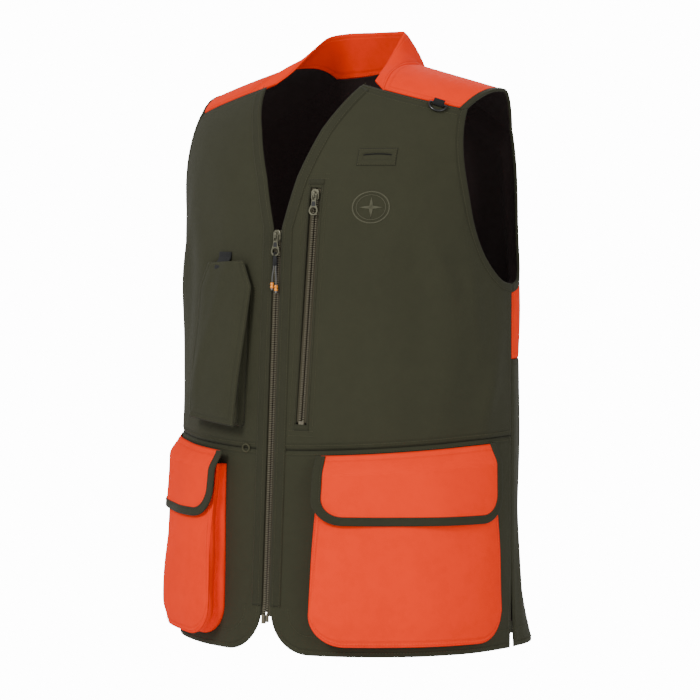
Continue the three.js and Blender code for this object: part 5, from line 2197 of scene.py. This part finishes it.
def zip_teeth(name: str, line: ZipLine, side: Side, pitch: float) -> bpy.types.Object:
    """One side's moulded teeth, set along the zip.

    Args:
        name: The piece's name.
        line: The zip's frame.
        side: Which side of the zip.
        pitch: Distance from tooth to tooth, in metres.

    Returns:
        The piece, placed.
    """
    start = pitch / 2 if side is Side.RIGHT else 0.0
    run = np.array([[0, 0, start + 0.0006], [0, 0, line.length / 1000 - 0.0008]])
    teeth = Repeat("teeth", pitch, 0.0023, 0.0026, 0.00125).make(name, [run], TEETH)
    teeth.data.transform(Matrix.Translation((0.0021, 0.0004, 0)))
    if side is Side.RIGHT:
        teeth.data.transform(Matrix.Rotation(math.pi, 4, "Z") @ Matrix.Translation((0, -0.0008, 0)))
    return line.place(teeth)


def zip_tape(name: str, line: ZipLine, side: Side) -> bpy.types.Object:
    """One side's woven tape with a corded edge under the teeth.

    Args:
        name: The piece's name.
        line: The zip's frame.
        side: Which side of the zip.

    Returns:
        The piece, placed.
    """
    section = [(0.9, 0.7), (3.6, 0.6), (6.6, 0.85), (7.6, 1.8), (8.8, 2.6), (15, 2.7), (15, 3.3), (8.4, 3.2),
               (7.0, 2.3), (6.0, 1.5), (0.9, 1.3)]
    run = np.linspace(-2, line.length + 2, 90)
    wave = 0.12 * np.sin(run * 0.9)
    points = np.array([[[x * side.sign, y + w, z] for x, y in section] for z, w in zip(run, wave)])
    piece = swept(name, points + SHOULDER_REST, TAPE)
    return line.place(piece)


@dataclass
class ChestZip:
    """The zip of the left chest pocket, its window, its end piece and the pocket's bag."""

    pitch: float = 0.0026
    hardware: ZipHardware = field(default_factory=ZipHardware)

    def line(self) -> ZipLine:
        """The zip's frame."""
        ends = [(39.0, 268.0), (47.0, 534.0)]
        at = [FORM.around(FORM.phi_at(x), z) for x, z in ends]
        return ZipLine(at[0], at[1], normal_at(Surface.AROUND, FORM.phi_at(43.0), 401.0))

    def cut_window(self, cloth_piece: bpy.types.Object) -> None:
        """Cut the long window for the zip out of the front's cloth."""
        line = self.line()
        tool = slab("window", [(-7, -4), (7, -4), (7, line.length + 1.5), (-7, line.length + 1.5)], -20, 20,
                    OLIVE, 0)
        line.place(tool)
        modifier = cloth_piece.modifiers.new("window", "BOOLEAN")
        modifier.operation, modifier.object, modifier.solver = "DIFFERENCE", tool, "EXACT"
        mesh = plain_mesh(cloth_piece)
        cloth_piece.modifiers.clear()
        cloth_piece.data = mesh
        remove(tool)

    def build(self) -> None:
        """Make the zip."""
        line = self.line()
        for side in Side:
            teeth = zip_teeth(f"chest_teeth_{side.value}", line, side, self.pitch)
            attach(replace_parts(teeth, f"chest_zip_chain_{side.value}"), "front_left")
            tape = zip_tape(f"chest_tape_{side.value}", line, side)
            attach(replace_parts(tape, f"chest_zip_tape_{side.value}"), "front_left")
        stop = slab("chest_stop", [(-3.4, -4), (3.4, -4), (3.4, -0.3), (-3.4, -0.3)], -1.2, 2.2, TEETH, 0.5)
        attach(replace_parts(line.place(stop), "chest_zip_stop"), "front_left")
        self.rim(line)
        top = line.length - self.hardware.height
        slider = self.hardware.slider("chest_slider_body", line, top)
        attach(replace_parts(slider, "chest_zip_slider"), "chest_slider")
        puller = self.hardware.puller("chest_puller", line, top, 3.2)
        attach(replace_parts(puller, "chest_zip_puller"), "chest_pull")
        self.bag()
        log.info("chest zip")

    def rim(self, line: ZipLine) -> None:
        """The folded edge of the window, lying on the cloth, and the stitched box round it."""
        z = np.linspace(-4, line.length + 4, 80)
        base, run = line.bottom, (line.top - line.bottom) / line.length
        middle = base[None] + run[None] * z[:, None]
        phi = np.degrees(np.arcsin(middle[:, 0] / FORM.half_width))
        path = along(np.stack([phi, middle[:, 2]], -1))
        parts = []
        for s in (-1, 1):
            profile = [(s * 6.4, -0.9), (s * 6.0, 0.2), (s * 6.3, 1.15), (s * 7.4, 1.4), (s * 8.8, 1.2),
                       (s * 9.3, 0.9), (s * 9.0, -0.9)]
            parts.append(strip(f"rim {s}", path, profile, 120, OLIVE_TRIM))
        for end in (0, 1):
            at = path(np.array(float(end)))
            z0 = at[1] + (4 if end else -4)
            across = straight([at[0] - 9.2 / MM_PER_DEGREE, z0], [at[0] + 9.2 / MM_PER_DEGREE, z0])
            profile = [(-3.4, -0.9), (-3.2, 1.2), (0, 1.6), (3.2, 1.2), (3.4, -0.9)]
            parts.append(strip(f"cap {end}", across, profile, 10, OLIVE_TRIM))
        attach(joined("chest_zip_rim", parts), "front_left")
        rows = [row_on_form(path, s * k, 1.55 if k < 9 else 1.1, Side.LEFT,
                            120) for s in (-1, 1) for k in (8.2, 13.6)]
        for end in (0, 1):
            at = path(np.array(float(end)))
            for k in (7.5, 13.0):
                z0 = at[1] + (k if end else -k)
                rows.append(row_on_form(straight([at[0] - 13.6 / MM_PER_DEGREE, z0],
                                                 [at[0] + 13.6 / MM_PER_DEGREE, z0]), 0, 1.1, Side.LEFT, 12))
        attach(FINE_STITCH.make("chest_zip_stitches", rows, OLIVE_THREAD), "front_left")

    def bag(self) -> None:
        """The thin bag behind the zip, inside the front."""
        a, b = np.meshgrid(lerp(FORM.phi_at(23), FORM.phi_at(134), shares(30)), lerp(262, 476, shares(40)))
        piece = cloth("chest_bag", (a, b), LINING, Side.LEFT, -8.6, Cut(0.35, 0.0, 5, "lrbt"))
        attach(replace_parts(piece, "chest_pocket_bag"), "front_left")


@dataclass
class WaistPocket:
    """One bellows pocket with its bound flap.

    Attributes:
        side: The side it is on.
        start: Degrees round where it begins.
        end: Degrees round where it ends.
        bottom: Height of its lower edge.
        top: Height of its mouth.
        corner: Radius of its lower corners.
        middle: How far its middle stands out.
        zip_end: How much further its end beside the zip stands out.
        side_end: How much further its other end does.
        mouth: Share of that depth left at the mouth.
        flap_low: Height of the flap's lower edge.
        flap_corner: Radius of the flap's corners.
        lift: How far the flap stands off the pocket.
        lean: Degrees that the pocket narrows towards its mouth.
    """

    side: Side
    start: float = 17.0
    end: float = 81.0
    bottom: float = 13.0
    top: float = 214.0
    corner: float = 36.0
    middle: float = 16.0
    zip_end: float = 12.0
    side_end: float = -3.0
    mouth: float = 0.6
    flap_low: float = 151.0
    flap_corner: float = 32.0
    lift: float = 4.4
    lean: float = 2.6

    def share(self, phi: Array) -> Array:
        """Share across the pocket at phi."""
        return np.clip((phi - self.start) / (self.end - self.start), 0, 1)

    def depth(self, s: Array, z: Array) -> Array:
        """How far the pocket's front stands off the form."""
        opened = lerp(self.mouth, 1, smoothstep(self.top - z, -10, 110))
        ends = np.where(np.asarray(s) < 0.5, self.zip_end, self.side_end)
        return (self.middle + ends * (2 * s - 1) ** 2) * opened

    def slump(self, phi: Array, z: Array) -> Array:
        """Soft bulges of the pocket's front."""
        s = self.share(phi)
        sag = 2.2 * np.exp(-(((z - 62) / 46) ** 2)) * np.sin(math.pi * s) ** 0.6
        waves = 0.9 * np.sin(s * 9.5 + z * 0.018 + (0.7 if self.side is Side.LEFT else 2.1))
        drag = -1.5 * np.exp(-((((s - 0.5) * 170 + (z - 150) * 0.55) / 22) ** 2)) * smoothstep(z, 60, 120)
        return (sag + waves + drag) * smoothstep(self.top - z, -5, 30)

    def outline(self, start: float, end: float, low: float, high: float, corner: float,
                inset: float = 0.0) -> list:
        """A U-shaped outline, down, round and up.

        Args:
            start: Degrees at its left.
            end: Degrees at its right.
            low: Height of its lower edge.
            high: Height of its ends.
            corner: Radius of its corners.
            inset: How far it is drawn in.

        Returns:
            Chart points.
        """
        left, right, base = start + inset / MM_PER_DEGREE, end - inset / MM_PER_DEGREE, low + inset
        lean = self.lean * min(1.0, (high - low) / (self.top - self.bottom)) if high > low else 0.0
        radius = max(6.0, corner - inset)
        reach = radius / MM_PER_DEGREE
        return [[left + lean * 0.4, high],
                *rounded([left, base + radius], [left, base], [left + reach, base]),
                *rounded([right - reach, base], [right, base], [right, base + radius]), [right - lean, high]]

    def inside(self, outline: list, top: Callable[[Array], Array], across: int, up: int) -> Chart:
        """The chart inside a U-shaped outline whose top edge follows a height."""
        low = outline[1:-1]
        left, right = np.asarray(low[0], float), np.asarray(low[-1], float)
        first, last = outline[0][0], outline[-1][0]

        def high(s: Array) -> Array:
            """The upper edge."""
            phi = lerp(first, last, s)
            return np.stack([phi, top(phi)], -1)

        return spanned(along(low), high, straight(left, [first, float(top(first))]),
                       straight(right, [last, float(top(last))]))(shares(across, 0.004), shares(up, 0.004))

    def build(self) -> None:
        """Make the pocket and its flap."""
        self.front()
        self.gusset()
        self.flap()
        log.info("waist pocket %s", self.side.value)

    def front(self) -> None:
        """The pocket's front: a crowned face whose edge rolls into the gusset."""
        outline = self.outline(self.start, self.end, self.bottom, self.top, self.corner)
        a, b = self.inside(outline, lambda phi: np.full_like(np.asarray(phi, float), self.top), 84, 84)
        gaps = edge_gaps(a, b)
        rim = np.minimum.reduce(gaps[:3])
        crown = 3.4 * smoothstep(rim, 0, 30) - 1.6 * (1 - smoothstep(rim, 0, 6))
        out = self.depth(self.share(a), b) + crown + self.slump(a, b) * smoothstep(rim, 0, 24) - 1.2
        piece = cloth(f"waist_pocket_face_{self.side.value}", (a, b), ORANGE, self.side, out + 0.8,
                      Cut(0.8, 0.3, 5, "lrb"))
        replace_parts(piece, f"pocket_front_{self.side.value}")
        carry_front(piece, self.side)
        rim_path = along(outline)

        def lift(t: Array) -> Array:
            """How far the rim lies off the form."""
            return self.depth(self.share(rim_path(t)[..., 0]), rim_path(t)[..., 1]) + 0.2

        rows = [row_on_form(rim_path, 4.0, lambda t: lift(t) + 0.9, self.side, 160)]
        mouth = straight([self.start + 1, self.top - 12], [self.end - 1, self.top - 12])
        rows.append(row_on_form(mouth, 0, lambda t: self.depth(t, self.top - 12.0) + 2.6, self.side, 80))
        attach(STITCH.make(f"waist_pocket_stitches_{self.side.value}", rows, ORANGE_THREAD),
                f"front_{self.side.value}")

    def gusset(self) -> None:
        """The bellows round the pocket: cloth that folds in halfway out, in a darker orange copy for painted
        shade.
        """
        path = along(self.outline(self.start, self.end, self.bottom, self.top, self.corner))
        t = np.linspace(0, 1, 181)
        at = path(t)
        depth = self.depth(self.share(at[:, 0]), at[:, 1])
        steps = np.linspace(0, 1, 15)
        outer, inner = [], []
        for k in steps:
            pleat = 7.0 * math.exp(-(((k - 0.42) / 0.17) ** 2))
            slack = 0.9 * np.sin(t * 46 + k * 5) * math.sin(math.pi * k)
            lift = lerp(1.0, depth - 0.6, k)
            for rows, extra in ((outer, -0.6), (inner, 0.6)):
                a, b = beside(path, t, pleat + slack + 0.8 + extra)
                rows.append(on_form(Surface.AROUND, a, b, lift, self.side))
        outer, inner = np.array(outer), np.array(inner)
        length = np.concatenate([[0], np.cumsum(np.linalg.norm(np.diff(outer[0], axis=0), axis=1))])
        uv = np.stack(np.meshgrid(length, steps * 24), -1) / 1000
        # the bellows use the darker orange copy, painted shade
        piece = shell(f"waist_pocket_bellows_{self.side.value}", outer, inner, ORANGE_SHADED_FOLD, uv, None,
                      self.side)
        outward(piece)
        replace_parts(piece, f"pocket_gusset_{self.side.value}")
        carry_front(piece, self.side)

    def flap_top(self, phi: Array) -> Array:
        """Height of the flap's seam."""
        return PATTERN.waist(phi) - 6

    def flap_out(self, phi: Array, z: Array) -> Array:
        """How far the flap lies off the form."""
        s = self.share(phi)
        away = smoothstep(PATTERN.waist(phi) - z, 3, 30)
        near = 2.0 + 9 * np.clip(1 - 2 * s, 0, 1) ** 2
        rest = self.depth(s, np.minimum(z, self.top)) + self.lift + 1.0
        flutter = 1.3 * np.sin(s * 11 + 0.8 * self.side.sign) * smoothstep(PATTERN.waist(phi) - z, 25, 90)
        return lerp(near, rest + flutter + self.slump(phi, z) * 0.6, away)

    def flap(self) -> None:
        """The orange flap, its olive binding and its stitches."""
        start, end = 16.8, 80.0
        name, body = self.side.value, f"flap_{self.side.value}"
        full = self.outline(start, end, self.flap_low, 0, self.flap_corner)[1:-1]
        full = [[start, float(self.flap_top(start))], *full, [end, float(self.flap_top(end))]]
        inner = self.outline(start, end, self.flap_low, 0, self.flap_corner, PATTERN.binding / 2)
        a, b = self.inside(inner, self.flap_top, 90, 50)
        piece = cloth(f"flap_cloth_{name}", (a, b), ORANGE, self.side, self.flap_out(a, b) + 0.7,
                      Cut(0.75, 0.5, 6, "t"))
        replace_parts(piece, f"flap_{name}")
        path = along(full)

        def lift(t: Array) -> Array:
            """How far the flap's edge lies off the form."""
            return self.flap_out(path(t)[..., 0], path(t)[..., 1]) + 0.7

        tape = strip(f"flap_edge_{name}", path, folded_tape(PATTERN.binding, 1.35), 170, OLIVE_TRIM,
                     self.side, lift)
        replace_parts(tape, f"flap_binding_{name}")
        rows = [row_on_form(path, PATTERN.binding - 1.6, lambda t: lift(t) + 1.3, self.side, 150)]
        sewn = FINE_STITCH.make(f"flap_stitches_{name}", rows, OLIVE_THREAD)
        top = along([[phi, float(self.flap_top(phi)) - 5] for phi in np.linspace(start + 3, end - 3, 30)])
        rows = [row_on_form(top, 0, lambda t: self.flap_out(*np.moveaxis(top(t), -1, 0)) + 1.6, self.side,
                            80)]
        high = FINE_STITCH.make(f"flap_top_stitches_{name}", rows, ORANGE_THREAD)
        hinge = FORM.around(49.0, float(self.flap_top(49.0)))
        at = to_model(hinge) * self.side.mirror
        for part in (piece, tape, sewn, high):
            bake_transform(part)


@dataclass
class ChestPocket:
    """The tall open pocket on the right chest, with its pleated side, webbing tab and eyelet."""

    start: float = 10.5
    end: float = 33.0
    bottom: float = 258.0
    shoulder: float = 418.0
    top: float = 448.0
    chamfer: float = 4.5
    deep: float = 18.0
    mouth: float = 8.0
    slant: float = 0.35
    spread: float = 2.6

    def depth(self, z: Array) -> Array:
        """How far the pocket's face stands off the form."""
        return lerp(self.deep, self.mouth, smoothstep(z, self.bottom + 20, self.top))

    def low(self, phi: Array) -> Array:
        """Height of the lower edge."""
        return self.bottom + self.slant * (np.asarray(phi, float) - self.start)

    def build(self) -> None:
        """Make the pocket and its trims."""
        side = Side.RIGHT
        a0, a1, c = self.start, self.end, self.chamfer

        def bottom(s: Array) -> Array:
            """The lower edge."""
            phi = lerp(a0 + 0.5, a1, s)
            return np.stack([phi, self.low(phi)], -1)

        left = along([[a0 + 0.5, self.bottom], [a0 - self.spread, self.shoulder + 3],
                      [a0 - self.spread + c * 0.8, self.top + 3]])
        right = along([[a1, float(self.low(a1))], [a1, self.shoulder], [a1 - c, self.top]])
        mouth = straight([a0 - self.spread + c * 0.8, self.top + 3], [a1 - c, self.top])
        a, b = spanned(bottom, mouth, left, right)(shares(44, 0.006), shares(90, 0.003))
        rim = np.minimum.reduce(edge_gaps(a, b))
        s = (a - a0) / (a1 - a0)
        crease = 1.3 * np.exp(-((((0.72 - s) * 60 - (b - 350) * 0.22) / 7) ** 2)) * smoothstep(b, 250, 300)
        dent = -1.1 * np.exp(-(((s - 0.35) / 0.2) ** 2) - (((b - 345) / 30) ** 2))
        out = self.depth(b) + 2.2 * smoothstep(rim, 0, 18) + crease + dent - 0.8
        face = cloth("tall_pocket_face", (a, b), OLIVE, side, out + 0.7, Cut(0.75, 0.4, 5, "lrb"))
        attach(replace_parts(face, "chest_pocket_front"), "front_right")
        self.gusset(side)
        self.trims(side)
        log.info("chest pocket")

    def gusset(self, side: Side) -> None:
        """The pleated wall round the pocket."""
        a0, a1, c = self.start, self.end, self.chamfer
        path = along([[a0 + c, self.top], [a0, self.shoulder], [a0, self.bottom + 4], [a0 + 1.2, self.bottom],
                      [a1 - 1.2, float(self.low(a1))], [a1, float(self.low(a1)) + 4], [a1, self.shoulder],
                      [a1 - c, self.top]])
        t = np.linspace(0, 1, 221)
        depth = self.depth(path(t)[:, 1])
        steps = np.linspace(0, 1, 11)
        outer, inner = [], []
        for k in steps:
            flutter = 0.7 * np.sin(t * 52 + 4 * k) * math.sin(math.pi * k)
            pleat = 4.2 * math.exp(-(((k - 0.45) / 0.18) ** 2)) + flutter
            for rows, extra in ((outer, -0.5), (inner, 0.5)):
                a, b = beside(path, t, pleat + 0.8 + extra)
                rows.append(on_form(Surface.AROUND, a, b, lerp(1.0, depth - 0.5, k), side))
        outer, inner = np.array(outer), np.array(inner)
        length = np.concatenate([[0], np.cumsum(np.linalg.norm(np.diff(outer[0], axis=0), axis=1))])
        uv = np.stack(np.meshgrid(length, steps * 18), -1) / 1000
        piece = shell("tall_pocket_bellows", outer, inner, OLIVE_TRIM, uv, None, side)
        outward(piece)
        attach(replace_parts(piece, "chest_pocket_gusset"), "front_right")

    def trims(self, side: Side) -> None:
        """Stitches round the face, the tab over the mouth and the eyelet."""
        a0, a1, c = self.start, self.end, self.chamfer
        w = self.spread
        edge = along([[a0 - w + c * 0.8, self.top + 3], [a0 - w, self.shoulder + 3], [a0 + 0.5, self.bottom],
                      [a1, float(self.low(a1))], [a1, self.shoulder], [a1 - c, self.top],
                      [a0 - w + c * 0.8, self.top + 3]])
        rows = [row_on_form(edge, 2.4, lambda t: self.depth(edge(t)[..., 1]) + 0.9, side, 200)]
        hold = along([[a0 - 1, self.bottom - 4], [a0 - 1, self.shoulder], [a0 + c - 0.6, self.top + 3],
                      [a1 - c + 0.6, self.top + 3], [a1 + 1, self.shoulder],
                      [a1 + 1, float(self.low(a1)) - 4]])
        rows.append(row_on_form(hold, 0, 1.1, side, 160))
        rows += [row_on_form(straight([k, 409], [k + 0.25, 421]), 0, 1.15, side, 8) for k in (7.6, 7.9, 8.2)]
        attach(FINE_STITCH.make("tall_pocket_stitches", rows, OLIVE_THREAD), "front_right")
        s, t = np.meshgrid(shares(14, 0.03), shares(20, 0.03))
        a, b = lerp(18.5, 24.5, s), lerp(self.top - 8, self.top + 13, t)
        lift = lerp(9.0, 2.2, smoothstep(t, 0.1, 0.8))
        tab = cloth("webbing_tab", (a, b), WEBBING, side, lift, Cut(0.8, 0.0, 4, "lrbt"))
        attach(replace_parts(tab, "chest_pocket_tab"), "front_right")
        centre = on_form(Surface.AROUND, np.array(9.5), np.array(234.0), 1.5, side)
        ahead = on_form(Surface.AROUND, np.array(10.5), np.array(234.0), 1.5, side)
        across = (ahead - centre) / np.linalg.norm(ahead - centre)
        turn = np.linspace(0, 2 * math.pi, 40, endpoint=False)
        upright = 4.4 * np.sin(turn)[:, None] * np.array([0, 0, 1.0])
        ring = centre + 5.2 * np.cos(turn)[:, None] * across + upright
        eyelet = tube("thread_eyelet", ring, 1.0, OLIVE_THREAD, closed=True, side=side)
        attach(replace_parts(eyelet, "side_ring"), "front_right")


@dataclass
class Trims:
    """Badge, slotted patch and shoulder ring."""

    ring_x: float = 160.0
    badge_x: float = 112.0
    badge_z: float = 513.0
    badge_radius: float = 18.5

    def build(self) -> None:
        """Make the trims."""
        self.badge()
        self.patch()
        self.ring()
        log.info("trims")

    def printed(self, name: str, outlines: Sequence[Array], lift: float) -> bpy.types.Object:
        """A thin print on the cloth from flat outlines of quads.

        Args:
            name: Its name.
            outlines: Quads as four pairs of millimetres from the badge's middle.
            lift: Distance out from the form.

        Returns:
            The piece.
        """
        points, faces = [], []
        for quad in outlines:
            first = len(points)
            for level in (lift, lift - 0.35):
                for x, z in quad:
                    phi = FORM.phi_at(self.badge_x) + x / 2.95
                    points.append(on_form(Surface.AROUND, np.array(phi), np.array(self.badge_z + z), level))
            a = first
            faces += [(a, a + 1, a + 2, a + 3), (a + 7, a + 6, a + 5, a + 4)]
            faces += [(a + i, a + 4 + i, a + 4 + (i + 1) % 4, a + (i + 1) % 4) for i in range(4)]
        return outward(new_piece(name, np.array(points), faces, PRINT, np.zeros((len(points), 2))))

    def badge(self) -> None:
        """A plain ring with a four-pointed star, tone on tone."""
        quads = []
        for radius, width, count in ((self.badge_radius, 1.5, 72), (self.badge_radius - 4, 0.7, 64)):
            turn = np.linspace(0, 2 * math.pi, count + 1)
            for a, b in zip(turn, turn[1:]):
                ring = [(radius, a), (radius, b), (radius - width, b), (radius - width, a)]
                quads.append([(r * math.cos(q), r * math.sin(q)) for r, q in ring])
        for i in range(4):
            q = i * math.pi / 2
            for s in (1, -1):
                tip, waist = 12.5, 2.6
                corner = (waist * math.cos(q + s * math.pi / 4), waist * math.sin(q + s * math.pi / 4))
                point = (tip * math.cos(q), tip * math.sin(q))
                half = (tip * 0.45 * math.cos(q), tip * 0.45 * math.sin(q))
                quads.append([(0, 0), corner, point, half])
        piece = self.printed("compass_print", quads, 1.35)
        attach(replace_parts(piece, "chest_badge"), "front_left")

    def patch(self) -> None:
        """The slot with its stitched outline and arched slit; the slit is a near-black strip of painted
        shadow.
        """
        x, z, w, h = 113.0, 570.0, 42.0, 20.0
        a0, a1 = FORM.phi_at(x - w / 2), FORM.phi_at(x + w / 2)
        a, b = np.meshgrid(lerp(a0, a1, shares(50, 0.01)), lerp(z - h / 2, z + h / 2, shares(30, 0.02)))
        s = (a - a0) / (a1 - a0)
        line = z + 1.5 + 2.0 * np.sin(math.pi * s)
        open_here = smoothstep(np.sin(math.pi * s), 0.15, 0.6)
        lip = np.exp(-(((b - line) / 1.5) ** 2)) * open_here
        out = 1.35 + 0.5 * np.exp(-(((b - line - 3) / 2) ** 2)) * open_here - 1.0 * lip
        piece = cloth("slot_patch", (a, b), OLIVE, Side.LEFT, out, Cut(0.35, 0.15, 3, "lrbt"))
        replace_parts(piece, "welt_patch")
        run = np.linspace(a0 + 1.2, a1 - 1.2, 40)
        slit = along([[p, float(z + 1.5 + 2.0 * math.sin(math.pi * (p - a0) / (a1 - a0)))] for p in run])
        # painted shadow: a near-black strip stands where the slit opens
        dark = strip("slot_slit", slit, [(-0.7, 0.6), (-0.7, 1.05), (0, 1.2), (0.7, 1.05), (0.7, 0.6)], 50,
                     SLIT_SHADOW)
        rows = []
        for k in (-h / 2 + 1.6, h / 2 - 1.6):
            rows.append(row_on_form(straight([a0 + 0.4, z + k], [a1 - 0.4, z + k]), 0, 1.75, Side.LEFT, 30))
        for edge in (a0 + 0.5, a1 - 0.5):
            rows.append(row_on_form(straight([edge, z - h / 2 + 1.6], [edge, z + h / 2 - 1.6]), 0, 1.75,
                                    Side.LEFT, 16))
        sewn = FINE_STITCH.make("slot_stitches", rows, OLIVE_THREAD)
        for part in (piece, dark, sewn):
            carry_front(part, Side.LEFT, Hang.BENDS)

    def ring(self) -> None:
        """The black half ring and the small loop that holds it at the yoke."""
        phi, z = FORM.phi_at(self.ring_x), float(PATTERN.yoke_seam(self.ring_x)) - 4
        away = normal_at(Surface.AROUND, phi, z)
        start = FORM.around(phi, z) + away * 3.4
        line = ZipLine(start, start + FORM.around(phi, z + 0.5) - FORM.around(phi, z - 0.5), away)
        turn = np.radians(170 + 200 * np.linspace(0, 1, 25))
        route = np.stack([10 * np.cos(turn), 0 * turn, 8.5 * np.sin(turn)], -1)
        bar = [np.array([x, 0, 1.5]) for x in np.linspace(9.0, -9.0, 8)]
        loop = smooth_route([*route, *bar], 110, True)
        wire = tube("half_ring", loop + SHOULDER_REST, 1.35, BLACK_METAL, True, 12)
        line.place(wire)
        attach(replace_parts(wire, "shoulder_ring"), "shoulder_ring")
        band = [(-6.5, -2.6, 6.5), (-6.5, -1.9, 1.5), (-6.5, 0.2, -0.6), (-6.5, 2.2, 1.2), (-6.5, 2.7, 6.0)]
        middle = smooth_route(band, 26)
        across = np.linspace(0, 13, 9)
        normal = np.gradient(middle, axis=0)
        normal = np.cross(normal, np.array([1.0, 0, 0]))
        normal /= np.linalg.norm(normal, axis=1, keepdims=True)
        outer = np.array([middle + normal * 0.45 + np.array([a, 0, 0]) for a in across])
        inner = np.array([middle - normal * 0.45 + np.array([a, 0, 0]) for a in across])
        uv = np.stack(np.meshgrid(np.linspace(0, 0.03, 26), across / 1000), -1)
        holder = outward(shell("ring_loop", outer + SHOULDER_REST, inner + SHOULDER_REST, WEBBING, uv))
        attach(line.place(holder), "back")


# ---- The room ------------------------------------------------------------------------------------


@dataclass(frozen=True)
class Room:
    """Floor, lights and camera.

    Attributes:
        azimuth: Degrees the camera stands round from the front, to the wearer's left.
        distance: Metres from the vest's axis.
        eye: Height of the camera, in metres from the origin.
        aim: Height that it looks at.
        lens: Focal length in millimetres.
        floor: Height of the floor.
        floor_reach: Half its width.
    """

    azimuth: float = 33.0
    distance: float = 3.5
    eye: float = -0.193
    aim: float = -0.361
    lens: float = 150.0
    floor: float = -1.35
    floor_reach: float = 2.2

    def build(self) -> None:
        """Make the room."""
        self.camera()
        self.ground()
        self.lights()

    def camera(self) -> None:
        """The camera, level with the chest and turned to the vest's left front."""
        turn = math.radians(self.azimuth)
        away = Vector((math.sin(turn), -math.cos(turn), 0))
        beside_it = Vector((math.cos(turn), math.sin(turn), 0))
        centre = Vector((0, -FORM.ridge_y / 1000, 0))
        target = centre + beside_it * -0.0024 + Vector((0, 0, self.aim))
        where = centre + away * self.distance + Vector((0, 0, self.eye))
        data = bpy.data.cameras.new("camera")
        data.lens, data.sensor_width = self.lens, 36.0
        eye = in_scene("camera", data)
        eye.location = where
        eye.rotation_euler = (target - where).to_track_quat("-Z", "Y").to_euler()
        bpy.context.scene.camera = eye

    def ground(self) -> None:
        """A pale floor well below the vest."""
        mesh = bpy.data.meshes.new("floor")
        r, z = self.floor_reach, self.floor
        mesh.from_pydata([(-r, -r, z), (r, -r, z), (r, r, z), (-r, r, z)], [], [(0, 1, 2, 3)])
        ground = in_scene("floor", mesh)
        pale = bpy.data.materials.new("pale floor")
        pale.use_nodes = True
        shader = pale.node_tree.nodes["Principled BSDF"]
        shader.inputs["Base Color"].default_value = (0.92, 0.92, 0.92, 1)
        shader.inputs["Roughness"].default_value = 0.9
        mesh.materials.append(pale)
        ground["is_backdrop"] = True

    def lights(self) -> None:
        """An even white sky and three large soft lights."""
        world = bpy.data.worlds.new("studio")
        bpy.context.scene.world = world
        world.use_nodes = True
        sky = world.node_tree.nodes["Background"]
        sky.inputs[0].default_value = (1.0, 1.0, 1.0, 1)
        graph = Graph(world.node_tree)
        seen = graph.add("ShaderNodeLightPath").outputs["Is Camera Ray"]
        world.node_tree.links.new(graph.remap(seen, 0.0, 1.0, 0.62, 14.0), sky.inputs[1])
        for name, at, size, power in (
            ("key", (-0.3, -3.2, 1.7), 1.2, 92.0),
            ("fill", (3.0, -1.6, 0.2), 2.0, 30.0),
            ("rim", (-1.2, 3.0, 1.4), 1.6, 55.0),
        ):
            data = bpy.data.lights.new(name, "AREA")
            data.size, data.energy = size, power
            lamp = in_scene(name, data)
            lamp.location = at
            lamp.rotation_euler = (Vector((0, 0, -0.35)) - Vector(at)).to_track_quat("-Z", "Y").to_euler()


def write_sizes() -> None:
    """Gather the solid model's box and the visual model's box; nothing is written."""
    plain = lambda box: [[float(c) for c in corner] for corner in box]
    {"cad": plain(CAD_BOX), "visual": plain(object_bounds())}


def main() -> None:
    """Build the whole vest."""
    logging.basicConfig(level=logging.INFO, format="%(name)s: %(message)s")
    Room().build()
    MainZip().build()
    Fronts().build()
    Back().build()
    Shoulders().build()
    ChestZip().build()
    for side in Side:
        WaistPocket(side).build()
    ChestPocket().build()
    Trims().build()
    write_sizes()


if __name__ == "__main__":
    main()
